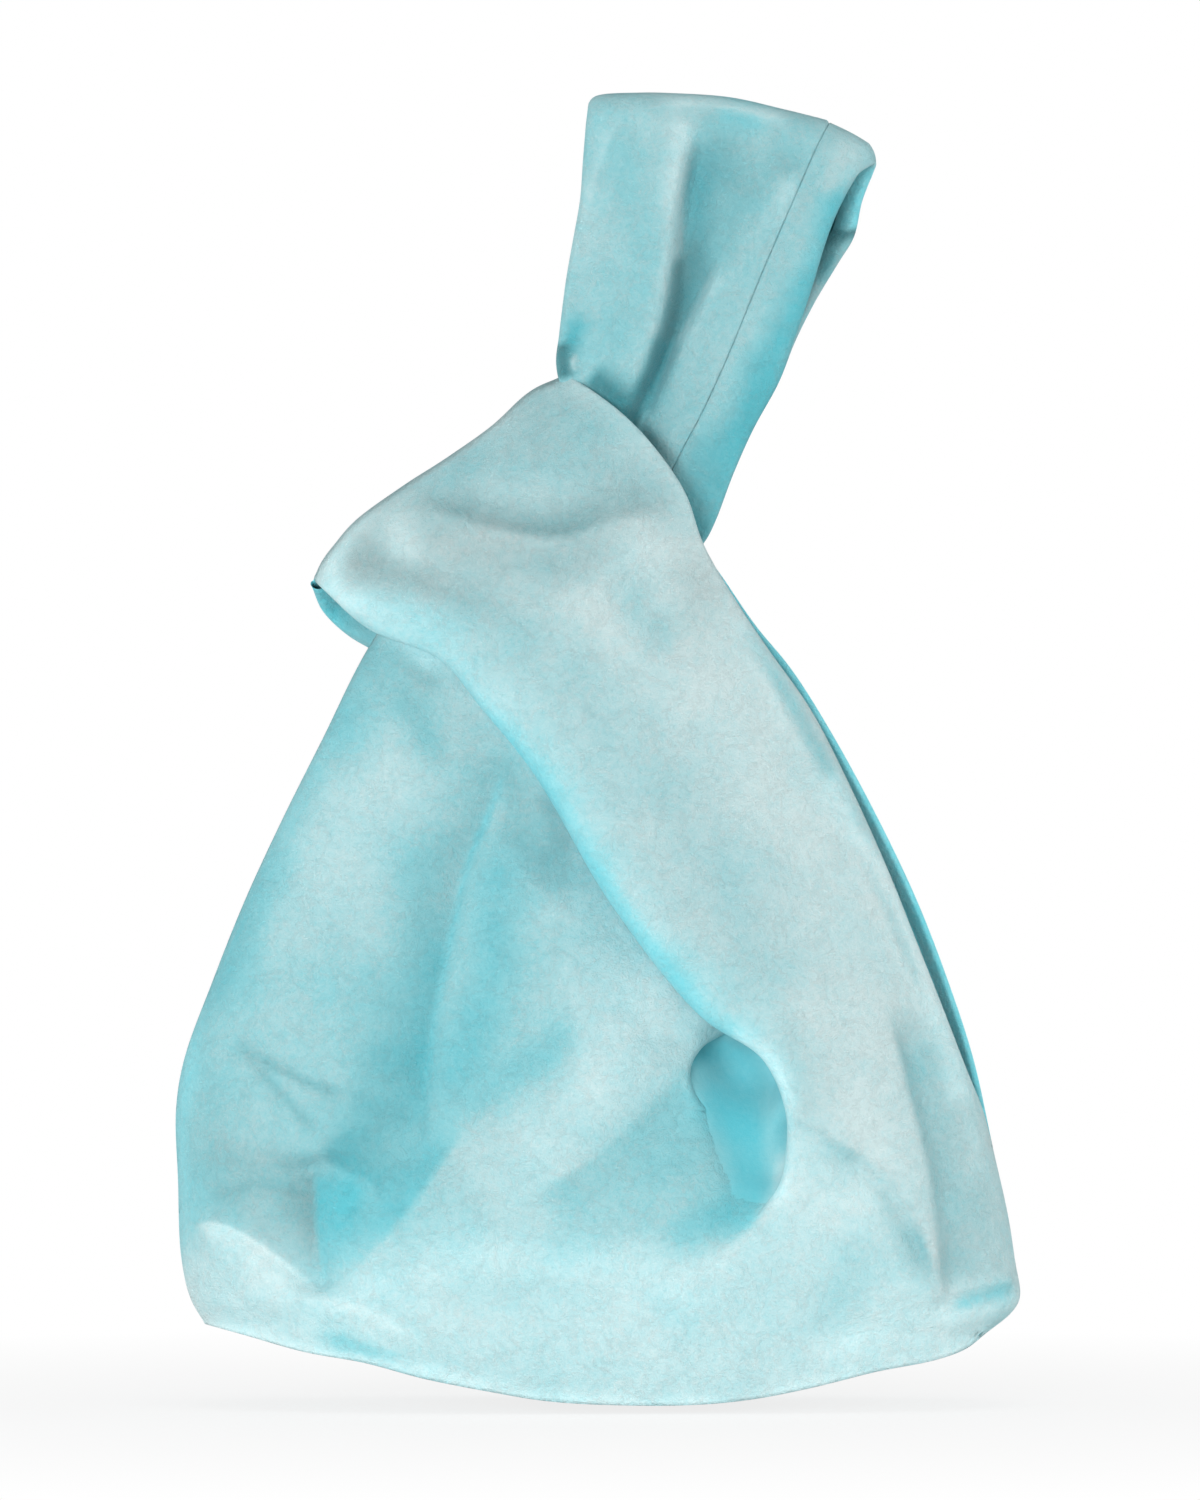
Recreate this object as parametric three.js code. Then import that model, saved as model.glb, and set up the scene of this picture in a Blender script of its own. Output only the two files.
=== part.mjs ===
// A knot bag in velvet. The short strap at the right of the front is a wide loop, and the
// long strap at the left passes through it and stands up out of it as a wrist handle.
// Millimetres. +X is to the right of the front, +Z is up and the front faces -Y. The origin
// is under the middle of the bag, on the surface that it stands on.

import * as THREE from 'three';

const { lerp, clamp, smoothstep } = THREE.MathUtils;

// Overall sizes
const bagWidth = 227;
const bagHeight = 354;
const pouchDepth = 90;

// Cloth
const fabricThickness = 2.5;
const liningThickness = 1;
const seamGap = 0.3;

// Bottom: the flat stretch that it stands on, and the rise of its two corners
const flatLeft = 12;
const flatRight = 32;
const leftCornerRise = 21.6;
const rightCornerRise = 19;
const bottomRadius = 25;
const bottomTuckShare = 0.2;
const cornerCurve = 1.2;

// Straps
const sectionCurve = 2.4;
const layerOpening = 3;
const openingRun = 60;
const loopHalfDepth = 18.5;
const loopStartShare = 0.5;
const loopFullShare = 0.8;
const loopEdgeDropShare = 0.12;
const loopEndShare = 0.1;
const loopFoldBulge = 4.6;
const bulgeCurve = 6;
const neckHalfDepth = 8;
const neckSectionCurve = 4;
const handleHalfDepth = 12;
const handleTopBulge = 6;
const handleArchCurve = 4;
const handleEndShare = 0.05;
const handleFlareShare = 0.45;
const handleEdgeDropShare = 0.4;
const handleSectionCurve = 3;
const borderSeamShare = 0.83;
const hingeWedge = 1.4;
const flexCurve = 8;

// Pressed folds
const foldHeight = 5;
const foldReach = 14;
const foldSoftness = 2;
const foldTaperShare = 0.14;
const pleatDepth = 3.5;
const pleatWidthShare = 0.09;
const pleatTopShare = 0.36;
const pleatFootShare = 0.5;
const pleatRunShare = 0.8;

// Outlines seen from the front, as shares of the bag's width from its middle and of its height
const leftSideShares = [
  [-0.470, 0.062], [-0.488, 0.082], [-0.498, 0.114], [-0.502, 0.172], [-0.502, 0.225],
  [-0.495, 0.263], [-0.460, 0.324], [-0.422, 0.385], [-0.378, 0.446], [-0.331, 0.507],
  [-0.274, 0.580], [-0.190, 0.650], [-0.101, 0.706],
];
const rightSideShares = [
  [0.458, 0.054], [0.490, 0.071], [0.500, 0.084], [0.494, 0.111], [0.485, 0.145], [0.467, 0.196],
  [0.445, 0.263], [0.414, 0.324], [0.377, 0.385], [0.332, 0.446], [0.281, 0.507], [0.230, 0.561],
  [0.187, 0.595], [0.152, 0.628], [0.124, 0.656],
];
const necklineShares = [
  [0.187, 0.145], [0.156, 0.186], [0.138, 0.204], [0.115, 0.225], [0.112, 0.248],
  [0.120, 0.279], [0.161, 0.340], [0.169, 0.424], [0.149, 0.508], [0.107, 0.573],
  [0.054, 0.605],
];
const rimShares = [
  [0.190, 0.147], [0.213, 0.168], [0.221, 0.195], [0.220, 0.225], [0.193, 0.264],
  [0.120, 0.296], [0.010, 0.385], [-0.071, 0.474], [-0.138, 0.529], [-0.190, 0.569],
  [-0.276, 0.593], [-0.343, 0.631],
];
const armholeShares = [
  [0.467, 0.196], [0.456, 0.225], [0.437, 0.256], [0.408, 0.303], [0.381, 0.347], [0.343, 0.408],
  [0.300, 0.469], [0.251, 0.530], [0.201, 0.576], [0.169, 0.606], [0.124, 0.656], [0.100, 0.693],
  [0.071, 0.724], [0.033, 0.751], [-0.005, 0.770], [-0.048, 0.780],
];
const backArmholeShares = [
  [0.467, 0.196], [0.445, 0.263], [0.414, 0.324], [0.377, 0.385], [0.332, 0.446], [0.281, 0.507],
  [0.230, 0.561], [0.187, 0.595], [0.152, 0.628], [0.124, 0.656], [0.100, 0.693], [0.071, 0.724],
  [0.033, 0.751], [-0.005, 0.770], [-0.048, 0.780],
];
const neckLeftShares = [[-0.101, 0.706], [-0.045, 0.747], [-0.014, 0.777], [-0.040, 0.818]];
const neckRightShares = [[0.054, 0.605], [0.107, 0.645], [0.126, 0.662], [0.142, 0.679]];
const handleLeftShares = [
  [-0.040, 0.818], [-0.043, 0.843], [-0.036, 0.873], [-0.024, 0.919], [-0.018, 0.965],
  [-0.014, 0.995],
];
const handleRightShares = [
  [0.142, 0.679], [0.177, 0.736], [0.213, 0.782], [0.239, 0.827], [0.257, 0.864],
  [0.270, 0.890], [0.285, 0.913], [0.306, 0.938], [0.326, 0.956],
];
const handleBackRightShares = [
  [0.142, 0.679], [0.159, 0.710], [0.182, 0.744], [0.214, 0.782], [0.241, 0.826], [0.272, 0.858],
  [0.299, 0.886], [0.310, 0.914], [0.321, 0.936], [0.326, 0.956],
];

// Pressed folds. Each follows a line, and has its height and its reach at the line's left and
// at its right, as shares of foldHeight and foldReach. A negative one is pressed in.
const frontFoldShares = [
  {
    line: [[-0.488, 0.130], [-0.451, 0.136], [-0.413, 0.122], [-0.334, 0.086], [-0.213, 0.040]],
    left: [-0.9, 1.1],
    right: [0.5, 0.8],
  },
  {
    line: [[0.220, 0.186], [0.193, 0.143], [0.143, 0.114], [0.004, 0.090], [-0.274, 0.084]],
    left: [0.3, 1.1],
    right: [-0.6, 1.1],
  },
  {
    line: [[-0.331, 0.092], [-0.280, 0.116], [-0.238, 0.156], [-0.193, 0.187]],
    left: [-1.4, 0.8],
    right: [0.1, 0.8],
  },
  {
    line: [[-0.238, 0.164], [-0.207, 0.225], [-0.190, 0.321], [-0.157, 0.416], [-0.109, 0.495]],
    left: [-0.9, 1.1],
    right: [0.3, 0.9],
  },
  { line: [[-0.119, 0.145], [-0.036, 0.217], [0.059, 0.294]], left: [0.3, 0.9], right: [0.3, 0.9] },
  {
    line: [[0.404, 0.080], [0.393, 0.156], [0.363, 0.225], [0.333, 0.286]],
    left: [-0.7, 0.8],
    right: [0.3, 0.8],
  },
];
const backFoldShares = [
  {
    line: [[0.119, 0.130], [0.048, 0.088], [-0.095, 0.057], [-0.285, 0.046]],
    left: [0.2, 0.9],
    right: [-0.6, 1],
  },
  {
    line: [[-0.202, 0.172], [-0.172, 0.271], [-0.131, 0.385], [-0.095, 0.477]],
    left: [-0.7, 1],
    right: [0.3, 0.9],
  },
  { line: [[-0.404, 0.187], [-0.357, 0.294], [-0.297, 0.385]], left: [0.3, 0.8], right: [0.3, 0.8] },
  { line: [[0.387, 0.118], [0.357, 0.217], [0.309, 0.309]], left: [-0.4, 0.8], right: [0.3, 0.8] },
];
const frontStrapFoldShares = [
  {
    line: [[-0.243, 0.695], [-0.155, 0.681], [-0.071, 0.673], [0.006, 0.677], [0.090, 0.695]],
    left: [-0.6, 0.7],
    right: [0.4, 0.7],
  },
];
const backStrapFoldShares = [
  { line: [[-0.202, 0.675], [-0.095, 0.656], [0.024, 0.671]], left: [-0.4, 0.7], right: [0.3, 0.7] },
];

// Height of the arch of the loop's folded end across the strap, as shares of its bulge
const loopBulgeShares = [
  [0, 0], [0.65, 0.1], [1, 0.23], [0.82, 0.39], [0.5, 0.57], [0.3, 0.73], [0.45, 0.87], [0, 1],
];

// Half depth of the pouch and of the long strap's foot up the bag, as shares of the pouch's
const depthShares = [
  [1, 0], [1, 0.18], [0.9, 0.3], [0.72, 0.4], [0.54, 0.52], [0.42, 0.64], [0.38, 0.85],
];
const footDepthShares = [
  [1, 0], [1, 0.14], [0.86, 0.2], [0.66, 0.3], [0.46, 0.4], [0.32, 0.5], [0.22, 0.62], [0.18, 0.8],
];

// Grid steps
const bellyRows = 7;
const legColumns = 15;
const bandColumns = 7;
const legRows = 16;
const bandRows = 24;
const handleRows = 12;
const handleColumns = 8;
const borderColumns = 2;
const neckRows = 5;
const baseRows = 6;
const curveSteps = 160;
const foldSteps = 40;

// Samples a smooth curve through [across, up] pairs, each a share of the two spans.
function sampled(shares, acrossSpan, upSpan, steps = curveSteps) {
  const points = shares.map(([across, up]) => new THREE.Vector3(across * acrossSpan, 0, up * upSpan));
  return new THREE.CatmullRomCurve3(points, false, 'centripetal').getPoints(steps);
}

const sampledFolds = (folds) => folds.map(
  (fold) => ({ ...fold, line: sampled(fold.line, bagWidth, bagHeight, foldSteps) }),
);

// The place across a rising curve at one height.
function crossing(points, height) {
  const above = points.findIndex((point) => point.z >= height);
  if (above === 0) return points[0].x;
  if (above < 0) return points[points.length - 1].x;
  const under = points[above - 1];
  const over = points[above];
  return lerp(under.x, over.x, (height - under.z) / (over.z - under.z));
}

const leftSide = sampled(leftSideShares, bagWidth, bagHeight);
const rightSide = sampled(rightSideShares, bagWidth, bagHeight);
const neckline = sampled(necklineShares, bagWidth, bagHeight);
const rim = sampled(rimShares, bagWidth, bagHeight);
const armhole = sampled(armholeShares, bagWidth, bagHeight);
const backArmhole = sampled(backArmholeShares, bagWidth, bagHeight);
const frontFolds = sampledFolds(frontFoldShares);
const backFolds = sampledFolds(backFoldShares);
const frontStrapFolds = sampledFolds(frontStrapFoldShares);
const backStrapFolds = sampledFolds(backStrapFoldShares);
const loopBulge = sampled(loopBulgeShares, loopFoldBulge, 1);
const depthProfile = sampled(depthShares, pouchDepth / 2, bagHeight);
const footProfile = sampled(footDepthShares, pouchDepth / 2, bagHeight);

const firstOf = (points) => points[0];
const lastOf = (points) => points[points.length - 1];
const mouthX = firstOf(neckline).x;
const mouthHeight = firstOf(neckline).z;
const sideSeamTop = firstOf(armhole);

// Height of the bag's underside: flat in the middle, rising to both corners.
function baseHeight(x) {
  const left = (-flatLeft - x) / (-flatLeft - firstOf(leftSide).x);
  const right = (x - flatRight) / (firstOf(rightSide).x - flatRight);
  const rise = left > right ? leftCornerRise : rightCornerRise;
  return rise * clamp(Math.max(left, right), 0, 1) ** cornerCurve;
}

// Height of the line where the pouch ends and the two straps start.
function yokeHeight(x) {
  const share = clamp((x - mouthX) / (sideSeamTop.x - mouthX), 0, 1);
  return lerp(mouthHeight, sideSeamTop.z, share);
}

// The rounded section of the pouch at a height, from 1 in the middle to 0 at the side seams.
function roundness(x, z, sectionRight = rightSide) {
  const left = crossing(leftSide, z);
  const right = crossing(sectionRight, z);
  const across = Math.min(1, Math.abs((2 * x - left - right) / (right - left)));
  return (1 - across ** sectionCurve) ** (1 / sectionCurve);
}

function pouchDepthAt(x, z, sectionRight = rightSide) {
  const rise = clamp((z - baseHeight(x)) / bottomRadius, 0, 1);
  const rounding = 1 - bottomTuckShare * (1 - rise) ** 2;
  return seamGap / 2 + crossing(depthProfile, z) * rounding * roundness(x, z, sectionRight);
}

function legDepthAt(x, z) {
  const full = crossing(footProfile, z);
  const opening = layerOpening * smoothstep(z - mouthHeight, 0, openingRun);
  return seamGap / 2 + opening + (full - opening) * roundness(x, z);
}

// Where a place lies beside a line: how far off, positive at the right of the line's travel, and
// at which share of it.
function besideLine(line, x, z) {
  let nearest = 0;
  let distance = Infinity;
  line.forEach((point, index) => {
    const reach = Math.hypot(x - point.x, z - point.z);
    if (reach < distance) [nearest, distance] = [index, reach];
  });
  const last = line.length - 1;
  const behind = line[Math.max(0, nearest - 1)];
  const ahead = line[Math.min(last, nearest + 1)];
  const turn = (ahead.z - behind.z) * (x - behind.x) - (ahead.x - behind.x) * (z - behind.z);
  return { offset: Math.sign(turn) * distance, along: nearest / last };
}

// How far the pressed folds push the cloth out at a place, or in where it is negative.
function foldAt(folds, x, z) {
  let total = 0;
  for (const { line, left, right } of folds) {
    const { offset, along } = besideLine(line, x, z);
    const [leftPart, rightPart] = [left, right].map(
      ([height, reach]) => height * foldHeight * Math.exp(-((offset / (reach * foldReach)) ** 2)),
    );
    const turn = (1 + Math.tanh(offset / foldSoftness)) / 2;
    const taper = smoothstep(along, 0, foldTaperShare) * smoothstep(1 - along, 0, foldTaperShare);
    total += taper * lerp(leftPart, rightPart, turn);
  }
  return total * roundness(x, z);
}

function gridQuads(columns, rows, index) {
  const quads = [];
  for (let j = 0; j < rows; j += 1) {
    for (let i = 0; i < columns; i += 1) {
      quads.push([index(i, j), index(i + 1, j), index(i + 1, j + 1), index(i, j + 1)]);
    }
  }
  return quads;
}

// The pouch half and the foot of the long strap, as one skin that narrows at the yoke.
function panelSkin(folds) {
  const columns = legColumns + bandColumns;
  const points = [];
  for (let j = 0; j <= bellyRows; j += 1) {
    const up = j / bellyRows;
    const heightAt = (x) => lerp(baseHeight(x) + fabricThickness + seamGap, yokeHeight(x), up);
    const left = crossing(leftSide, heightAt(-bagWidth / 2));
    const right = crossing(rightSide, heightAt(bagWidth / 2));
    for (let i = 0; i <= columns; i += 1) {
      const inLeg = i <= legColumns;
      const turn = inLeg ? i / legColumns : (i - legColumns) / bandColumns;
      const x = inLeg
        ? lerp(left, mouthX, 1 - Math.cos(turn * Math.PI / 2))
        : lerp(mouthX, right, Math.sin(turn * Math.PI / 2));
      const z = heightAt(x);
      points.push(new THREE.Vector3(x, -pouchDepthAt(x, z) - foldAt(folds, x, z), z));
    }
  }
  const legStart = points.length;
  for (let j = 1; j <= legRows; j += 1) {
    const up = j / legRows;
    const leftZ = lerp(mouthHeight, lastOf(leftSide).z, up);
    const rightZ = lerp(mouthHeight, lastOf(neckline).z, up);
    for (let i = 0; i <= legColumns; i += 1) {
      const share = 1 - Math.cos(i / legColumns * Math.PI / 2);
      const x = lerp(crossing(leftSide, leftZ), crossing(neckline, rightZ), share);
      const z = lerp(leftZ, rightZ, share);
      points.push(new THREE.Vector3(x, -legDepthAt(x, z) - foldAt(folds, x, z), z));
    }
  }
  const bellyIndex = (i, j) => j * (columns + 1) + i;
  const legIndex = (i, j) => (
    j === 0 ? bellyIndex(i, bellyRows) : legStart + (j - 1) * (legColumns + 1) + i
  );
  const belly = gridQuads(columns, bellyRows, bellyIndex);
  return { points, quads: [...belly, ...gridQuads(legColumns, legRows, legIndex)] };
}

// Half of the short strap: it leaves the pouch at the yoke and folds over at the loop's end.
function bandSkin(outerEdge, sectionRight, folds) {
  const points = [];
  const rimFoot = firstOf(rim);
  const edgeFoot = firstOf(outerEdge);
  const loopLeft = lastOf(rim);
  const loopRight = lastOf(outerEdge);
  const foldDirection = new THREE.Vector3(loopLeft.z - loopRight.z, 0, loopRight.x - loopLeft.x);
  foldDirection.normalize();
  for (let j = 0; j <= bandRows; j += 1) {
    const up = j / bandRows;
    const rimZ = lerp(rimFoot.z, loopLeft.z, up);
    const edgeZ = lerp(edgeFoot.z, loopRight.z, up);
    const blend = smoothstep(up, loopStartShare, loopFullShare);
    const foldShare = clamp((up - 1 + loopEndShare) / loopEndShare, 0, 1);
    for (let i = 0; i <= bandColumns; i += 1) {
      const share = i / bandColumns;
      const point = new THREE.Vector3(
        lerp(crossing(rim, rimZ), crossing(outerEdge, edgeZ), share),
        0,
        lerp(rimZ, edgeZ, share) + seamGap,
      );
      point.addScaledVector(foldDirection, crossing(loopBulge, share) * up ** bulgeCurve);
      const drop = 1 - loopEdgeDropShare * (2 * share - 1) ** 2;
      const overEnd = Math.sqrt(1 - foldShare ** 2);
      const loopDepth = seamGap / 2 + loopHalfDepth * drop * overEnd;
      const fold = foldAt(folds, point.x, point.z) * overEnd;
      point.y = -lerp(pouchDepthAt(point.x, point.z, sectionRight), loopDepth, blend) - fold;
      points.push(point);
    }
  }
  return { points, quads: gridQuads(bandColumns, bandRows, (i, j) => j * (bandColumns + 1) + i) };
}

// Moves a skin inwards along its own normals, and stops it short of the bag's middle plane.
function inset({ points, quads }, distance) {
  const normals = points.map(() => new THREE.Vector3());
  for (const [a, b, c, d] of quads) {
    const across = points[c].clone().sub(points[a]);
    const normal = across.cross(points[d].clone().sub(points[b]));
    [a, b, c, d].forEach((corner) => normals[corner].add(normal));
  }
  const moved = points.map((point, index) => {
    const next = point.clone().addScaledVector(normals[index].normalize(), -distance);
    next.y = Math.min(next.y, -seamGap / 2);
    return next;
  });
  return { points: moved, quads };
}

// One closed solid between an outer and an inner skin that share their grid.
function sheetGeometry(outer, inner, mirrored) {
  const side = mirrored ? -1 : 1;
  const shift = outer.points.length;
  const triangles = [];
  const openEdges = new Map();
  for (const [a, b, c, d] of outer.quads) {
    triangles.push([a, b, c], [a, c, d]);
    triangles.push([a + shift, c + shift, b + shift], [a + shift, d + shift, c + shift]);
    for (const [from, to] of [[a, b], [b, c], [c, d], [d, a]]) {
      if (!openEdges.delete(`${to} ${from}`)) openEdges.set(`${from} ${to}`, [from, to]);
    }
  }
  for (const [from, to] of openEdges.values()) {
    triangles.push([to, from, from + shift], [to, from + shift, to + shift]);
  }
  const positions = [...outer.points, ...inner.points].flatMap((p) => [p.x, side * p.y, p.z]);
  const index = triangles.flatMap(([a, b, c]) => (mirrored ? [a, c, b] : [a, b, c]));
  const geometry = new THREE.BufferGeometry();
  geometry.setAttribute('position', new THREE.Float32BufferAttribute(positions, 3));
  geometry.setIndex(index);
  geometry.computeVertexNormals();
  return geometry;
}

const velvetColour = 0x9ed9de;
const strapColour = 0xa9dadd;
const handleColour = 0x86cdd4;
const liningColour = 0x6fc0ca;
const pileRoughness = 0.9;

function clothMesh(name, geometry, colour) {
  const finish = new THREE.MeshStandardMaterial({ color: colour, roughness: pileRoughness, metalness: 0 });
  const mesh = new THREE.Mesh(geometry, finish);
  mesh.name = name;
  return mesh;
}

// Outer cloth and lining of one half of the pouch, with the foot of the long strap.
function pouchHalf(group, side, folds, mirrored) {
  const skin = panelSkin(folds);
  const clothInside = inset(skin, fabricThickness);
  const liningOutside = inset(skin, fabricThickness + seamGap);
  const liningInside = inset(skin, fabricThickness + seamGap + liningThickness);
  const lining = sheetGeometry(liningOutside, liningInside, mirrored);
  group.add(clothMesh(`${side}_panel`, sheetGeometry(skin, clothInside, mirrored), velvetColour));
  group.add(clothMesh(`lining_${side}`, lining, liningColour));
}

// One half of the short strap. The front and back halves meet in a seam at the loop's end.
function shortStrapHalf(group, side, { outerEdge, sectionRight, folds }, mirrored) {
  const skin = bandSkin(outerEdge, sectionRight, folds);
  const geometry = sheetGeometry(skin, inset(skin, fabricThickness), mirrored);
  group.add(clothMesh(`short_strap_${side}`, geometry, strapColour));
}

// The stiffened bottom that the panels stand round.
function basePanel(group) {
  const columns = legColumns + bandColumns;
  const under = [];
  const over = [];
  for (let j = 0; j <= baseRows; j += 1) {
    for (let i = 0; i <= columns; i += 1) {
      const share = (1 - Math.cos(i / columns * Math.PI)) / 2;
      const x = lerp(firstOf(leftSide).x, firstOf(rightSide).x, share);
      const z = baseHeight(x);
      const y = lerp(-1, 1, j / baseRows) * pouchDepthAt(x, z);
      under.push(new THREE.Vector3(x, y, z));
      over.push(new THREE.Vector3(x, y, z + fabricThickness));
    }
  }
  const quads = gridQuads(columns, baseRows, (i, j) => j * (columns + 1) + i);
  const geometry = sheetGeometry({ points: over, quads }, { points: under }, false);
  group.add(clothMesh('base_panel', geometry, velvetColour));
}

// A strip of the long strap between two edge curves, with its thickness measured along Y.
function strapSkin({ left, right, columns, rows, fromShare, toShare, depthAt, rise }) {
  const points = [];
  for (let j = 0; j <= rows; j += 1) {
    const up = j / rows;
    for (let i = 0; i <= columns; i += 1) {
      const share = lerp(fromShare, toShare, i / columns);
      const point = left.getPoint(up).lerp(right.getPoint(up), share);
      point.y = -depthAt(share, up);
      points.push(point.add(rise(share, up)));
    }
  }
  return { points, quads: gridQuads(columns, rows, (i, j) => j * (columns + 1) + i) };
}

function edgeCurve(shares) {
  const points = shares.map(([across, up]) => new THREE.Vector3(across * bagWidth, 0, up * bagHeight));
  return new THREE.CatmullRomCurve3(points, false, 'centripetal');
}

const handleLeft = edgeCurve(handleLeftShares);
const handleRight = edgeCurve(handleRightShares);
const handleBackRight = edgeCurve(handleBackRightShares);
const neckLeft = edgeCurve(neckLeftShares);
const neckRight = edgeCurve(neckRightShares);
const flexLine = handleRight.getPoint(0).sub(handleLeft.getPoint(0)).normalize();
const strapRise = new THREE.Vector3(-flexLine.z, 0, flexLine.x);

// The gathered neck inside the loop: it narrows to the line about which the handle flexes.
function neckHalf(group, side, mirrored) {
  const rise = (wedge) => (share, up) => strapRise.clone().multiplyScalar(
    seamGap * (1 - up) - (seamGap / 2 + wedge) * up ** flexCurve,
  );
  const outerDepth = (share, up) => {
    const swell = (1 - up) * (1 - (2 * share - 1) ** neckSectionCurve);
    return seamGap / 2 + lerp(fabricThickness, neckHalfDepth, swell);
  };
  const innerDepth = (share, up) => outerDepth(share, up) - fabricThickness;
  const strip = {
    left: neckLeft, right: neckRight, columns: handleColumns, rows: neckRows, fromShare: 0, toShare: 1,
  };
  const outer = strapSkin({ ...strip, rise: rise(hingeWedge), depthAt: outerDepth });
  const inner = strapSkin({ ...strip, rise: rise(0), depthAt: innerDepth });
  group.add(clothMesh(`handle_neck_${side}`, sheetGeometry(outer, inner, mirrored), handleColour));
}

// Depth of one layer of the handle, with the pleat that runs down to the neck.
function handleLayer(share, up) {
  const flare = smoothstep(up, 0, handleFlareShare);
  const section = 1 - handleEdgeDropShare * Math.abs(2 * share - 1) ** handleSectionCurve;
  const pleatShare = lerp(pleatFootShare, pleatTopShare, up);
  const pleatRun = Math.sin(Math.PI * Math.min(1, up / pleatRunShare));
  const pleat = pleatRun * Math.exp(-(((share - pleatShare) / pleatWidthShare) ** 2));
  return lerp(fabricThickness, handleHalfDepth, flare * section) - pleatDepth * flare * pleat;
}

// One layer of the handle: the main cloth, and the border sewn on along its right edge.
function handleHalf(group, side, rightEdge, mirrored) {
  const overTop = (up) => Math.sqrt(1 - clamp((up - 1 + handleEndShare) / handleEndShare, 0, 1) ** 2);
  const rise = (wedge, drop) => (share, up) => {
    const arch = handleTopBulge * 4 * share * (1 - share) * up ** handleArchCurve;
    return strapRise.clone().multiplyScalar((seamGap / 2 + wedge) * (1 - up) ** flexCurve)
      .add(new THREE.Vector3(0, 0, arch - drop * up ** flexCurve));
  };
  const outerDepth = (share, up) => seamGap / 2 + handleLayer(share, up) * overTop(up);
  const innerDepth = (share, up) => outerDepth(share, up) - fabricThickness * overTop(up);
  const seamShare = seamGap / 2 / (rightEdge.getPoint(1).x - handleLeft.getPoint(1).x);
  const pieces = [
    [`handle_${side}`, handleColumns, 0, borderSeamShare - seamShare],
    [`handle_border_${side}`, borderColumns, borderSeamShare + seamShare, 1],
  ];
  for (const [name, columns, fromShare, toShare] of pieces) {
    const strip = { left: handleLeft, right: rightEdge, columns, rows: handleRows, fromShare, toShare };
    const outer = strapSkin({ ...strip, depthAt: outerDepth, rise: rise(hingeWedge, 0) });
    const inner = strapSkin({ ...strip, depthAt: innerDepth, rise: rise(0, fabricThickness) });
    group.add(clothMesh(name, sheetGeometry(outer, inner, mirrored), handleColour));
  }
}

const group = new THREE.Group();
const frontStrap = { outerEdge: armhole, sectionRight: rightSide, folds: frontStrapFolds };
const backStrap = { outerEdge: backArmhole, sectionRight: armhole, folds: backStrapFolds };
pouchHalf(group, 'front', frontFolds, false);
pouchHalf(group, 'back', backFolds, true);
basePanel(group);
shortStrapHalf(group, 'front', frontStrap, false);
shortStrapHalf(group, 'back', backStrap, true);
neckHalf(group, 'front', false);
neckHalf(group, 'back', true);
handleHalf(group, 'front', handleRight, false);
handleHalf(group, 'back', handleBackRight, true);

export default group;
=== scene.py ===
import math

import bpy
import numpy as np
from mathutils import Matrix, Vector


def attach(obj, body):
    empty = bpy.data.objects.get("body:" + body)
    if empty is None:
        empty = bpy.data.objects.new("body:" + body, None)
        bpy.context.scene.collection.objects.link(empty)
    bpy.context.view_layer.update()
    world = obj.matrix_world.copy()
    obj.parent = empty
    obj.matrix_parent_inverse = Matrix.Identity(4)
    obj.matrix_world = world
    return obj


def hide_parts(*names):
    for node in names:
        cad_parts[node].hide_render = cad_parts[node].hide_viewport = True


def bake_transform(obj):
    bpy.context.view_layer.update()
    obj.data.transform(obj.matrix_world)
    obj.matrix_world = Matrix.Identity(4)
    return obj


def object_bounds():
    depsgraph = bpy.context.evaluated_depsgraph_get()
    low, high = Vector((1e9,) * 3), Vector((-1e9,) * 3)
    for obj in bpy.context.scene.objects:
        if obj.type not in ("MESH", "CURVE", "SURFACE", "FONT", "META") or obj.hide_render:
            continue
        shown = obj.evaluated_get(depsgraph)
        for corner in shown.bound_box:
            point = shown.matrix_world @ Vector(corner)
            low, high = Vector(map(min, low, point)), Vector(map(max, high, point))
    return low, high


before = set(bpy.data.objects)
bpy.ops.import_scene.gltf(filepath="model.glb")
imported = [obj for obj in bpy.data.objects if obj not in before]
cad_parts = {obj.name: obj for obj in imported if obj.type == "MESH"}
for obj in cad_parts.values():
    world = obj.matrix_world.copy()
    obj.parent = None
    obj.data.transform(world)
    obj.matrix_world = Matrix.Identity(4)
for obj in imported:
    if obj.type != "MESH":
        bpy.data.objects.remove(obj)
cad_low, cad_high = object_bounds()

# Camera. The bag was photographed level and from straight in front, some way off. Every pair
# of numbers below that says where something lies is a column and a row of that picture.
picture_height = 1500
middle_column = 600
top_row = 95
foot_row = 1405
camera_distance = 3.0
sensor_size = 36.0
millimetre = 0.001
pixel = (cad_high.z - cad_low.z) / (foot_row - top_row)
eye_height = (foot_row - picture_height / 2) * pixel

camera_data = bpy.data.cameras.new("camera")
camera_data.sensor_width = sensor_size
camera_data.lens = sensor_size * camera_distance / (picture_height * pixel)
camera_data.clip_end = 30
camera = bpy.data.objects.new("camera", camera_data)
camera.location = (0, -camera_distance, eye_height)
camera.rotation_euler = (math.radians(90), 0, 0)
bpy.context.scene.collection.objects.link(camera)
bpy.context.scene.camera = camera
bpy.context.scene.view_settings.view_transform = "Standard"


# Floor and light. A white table top that runs out of sight, lit by one broad soft lamp low at
# the front left, weaker ones at the right and at both sides, and two faint ones, overhead and
# low in front.
floor_size = 16
floor_white = (0.86, 0.86, 0.86, 1)
white = (1, 1, 1, 1)
shaded_within = 0.1
plain_beyond = 0.4
plain_share_near = 0.82
world_strength = 0.36


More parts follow.
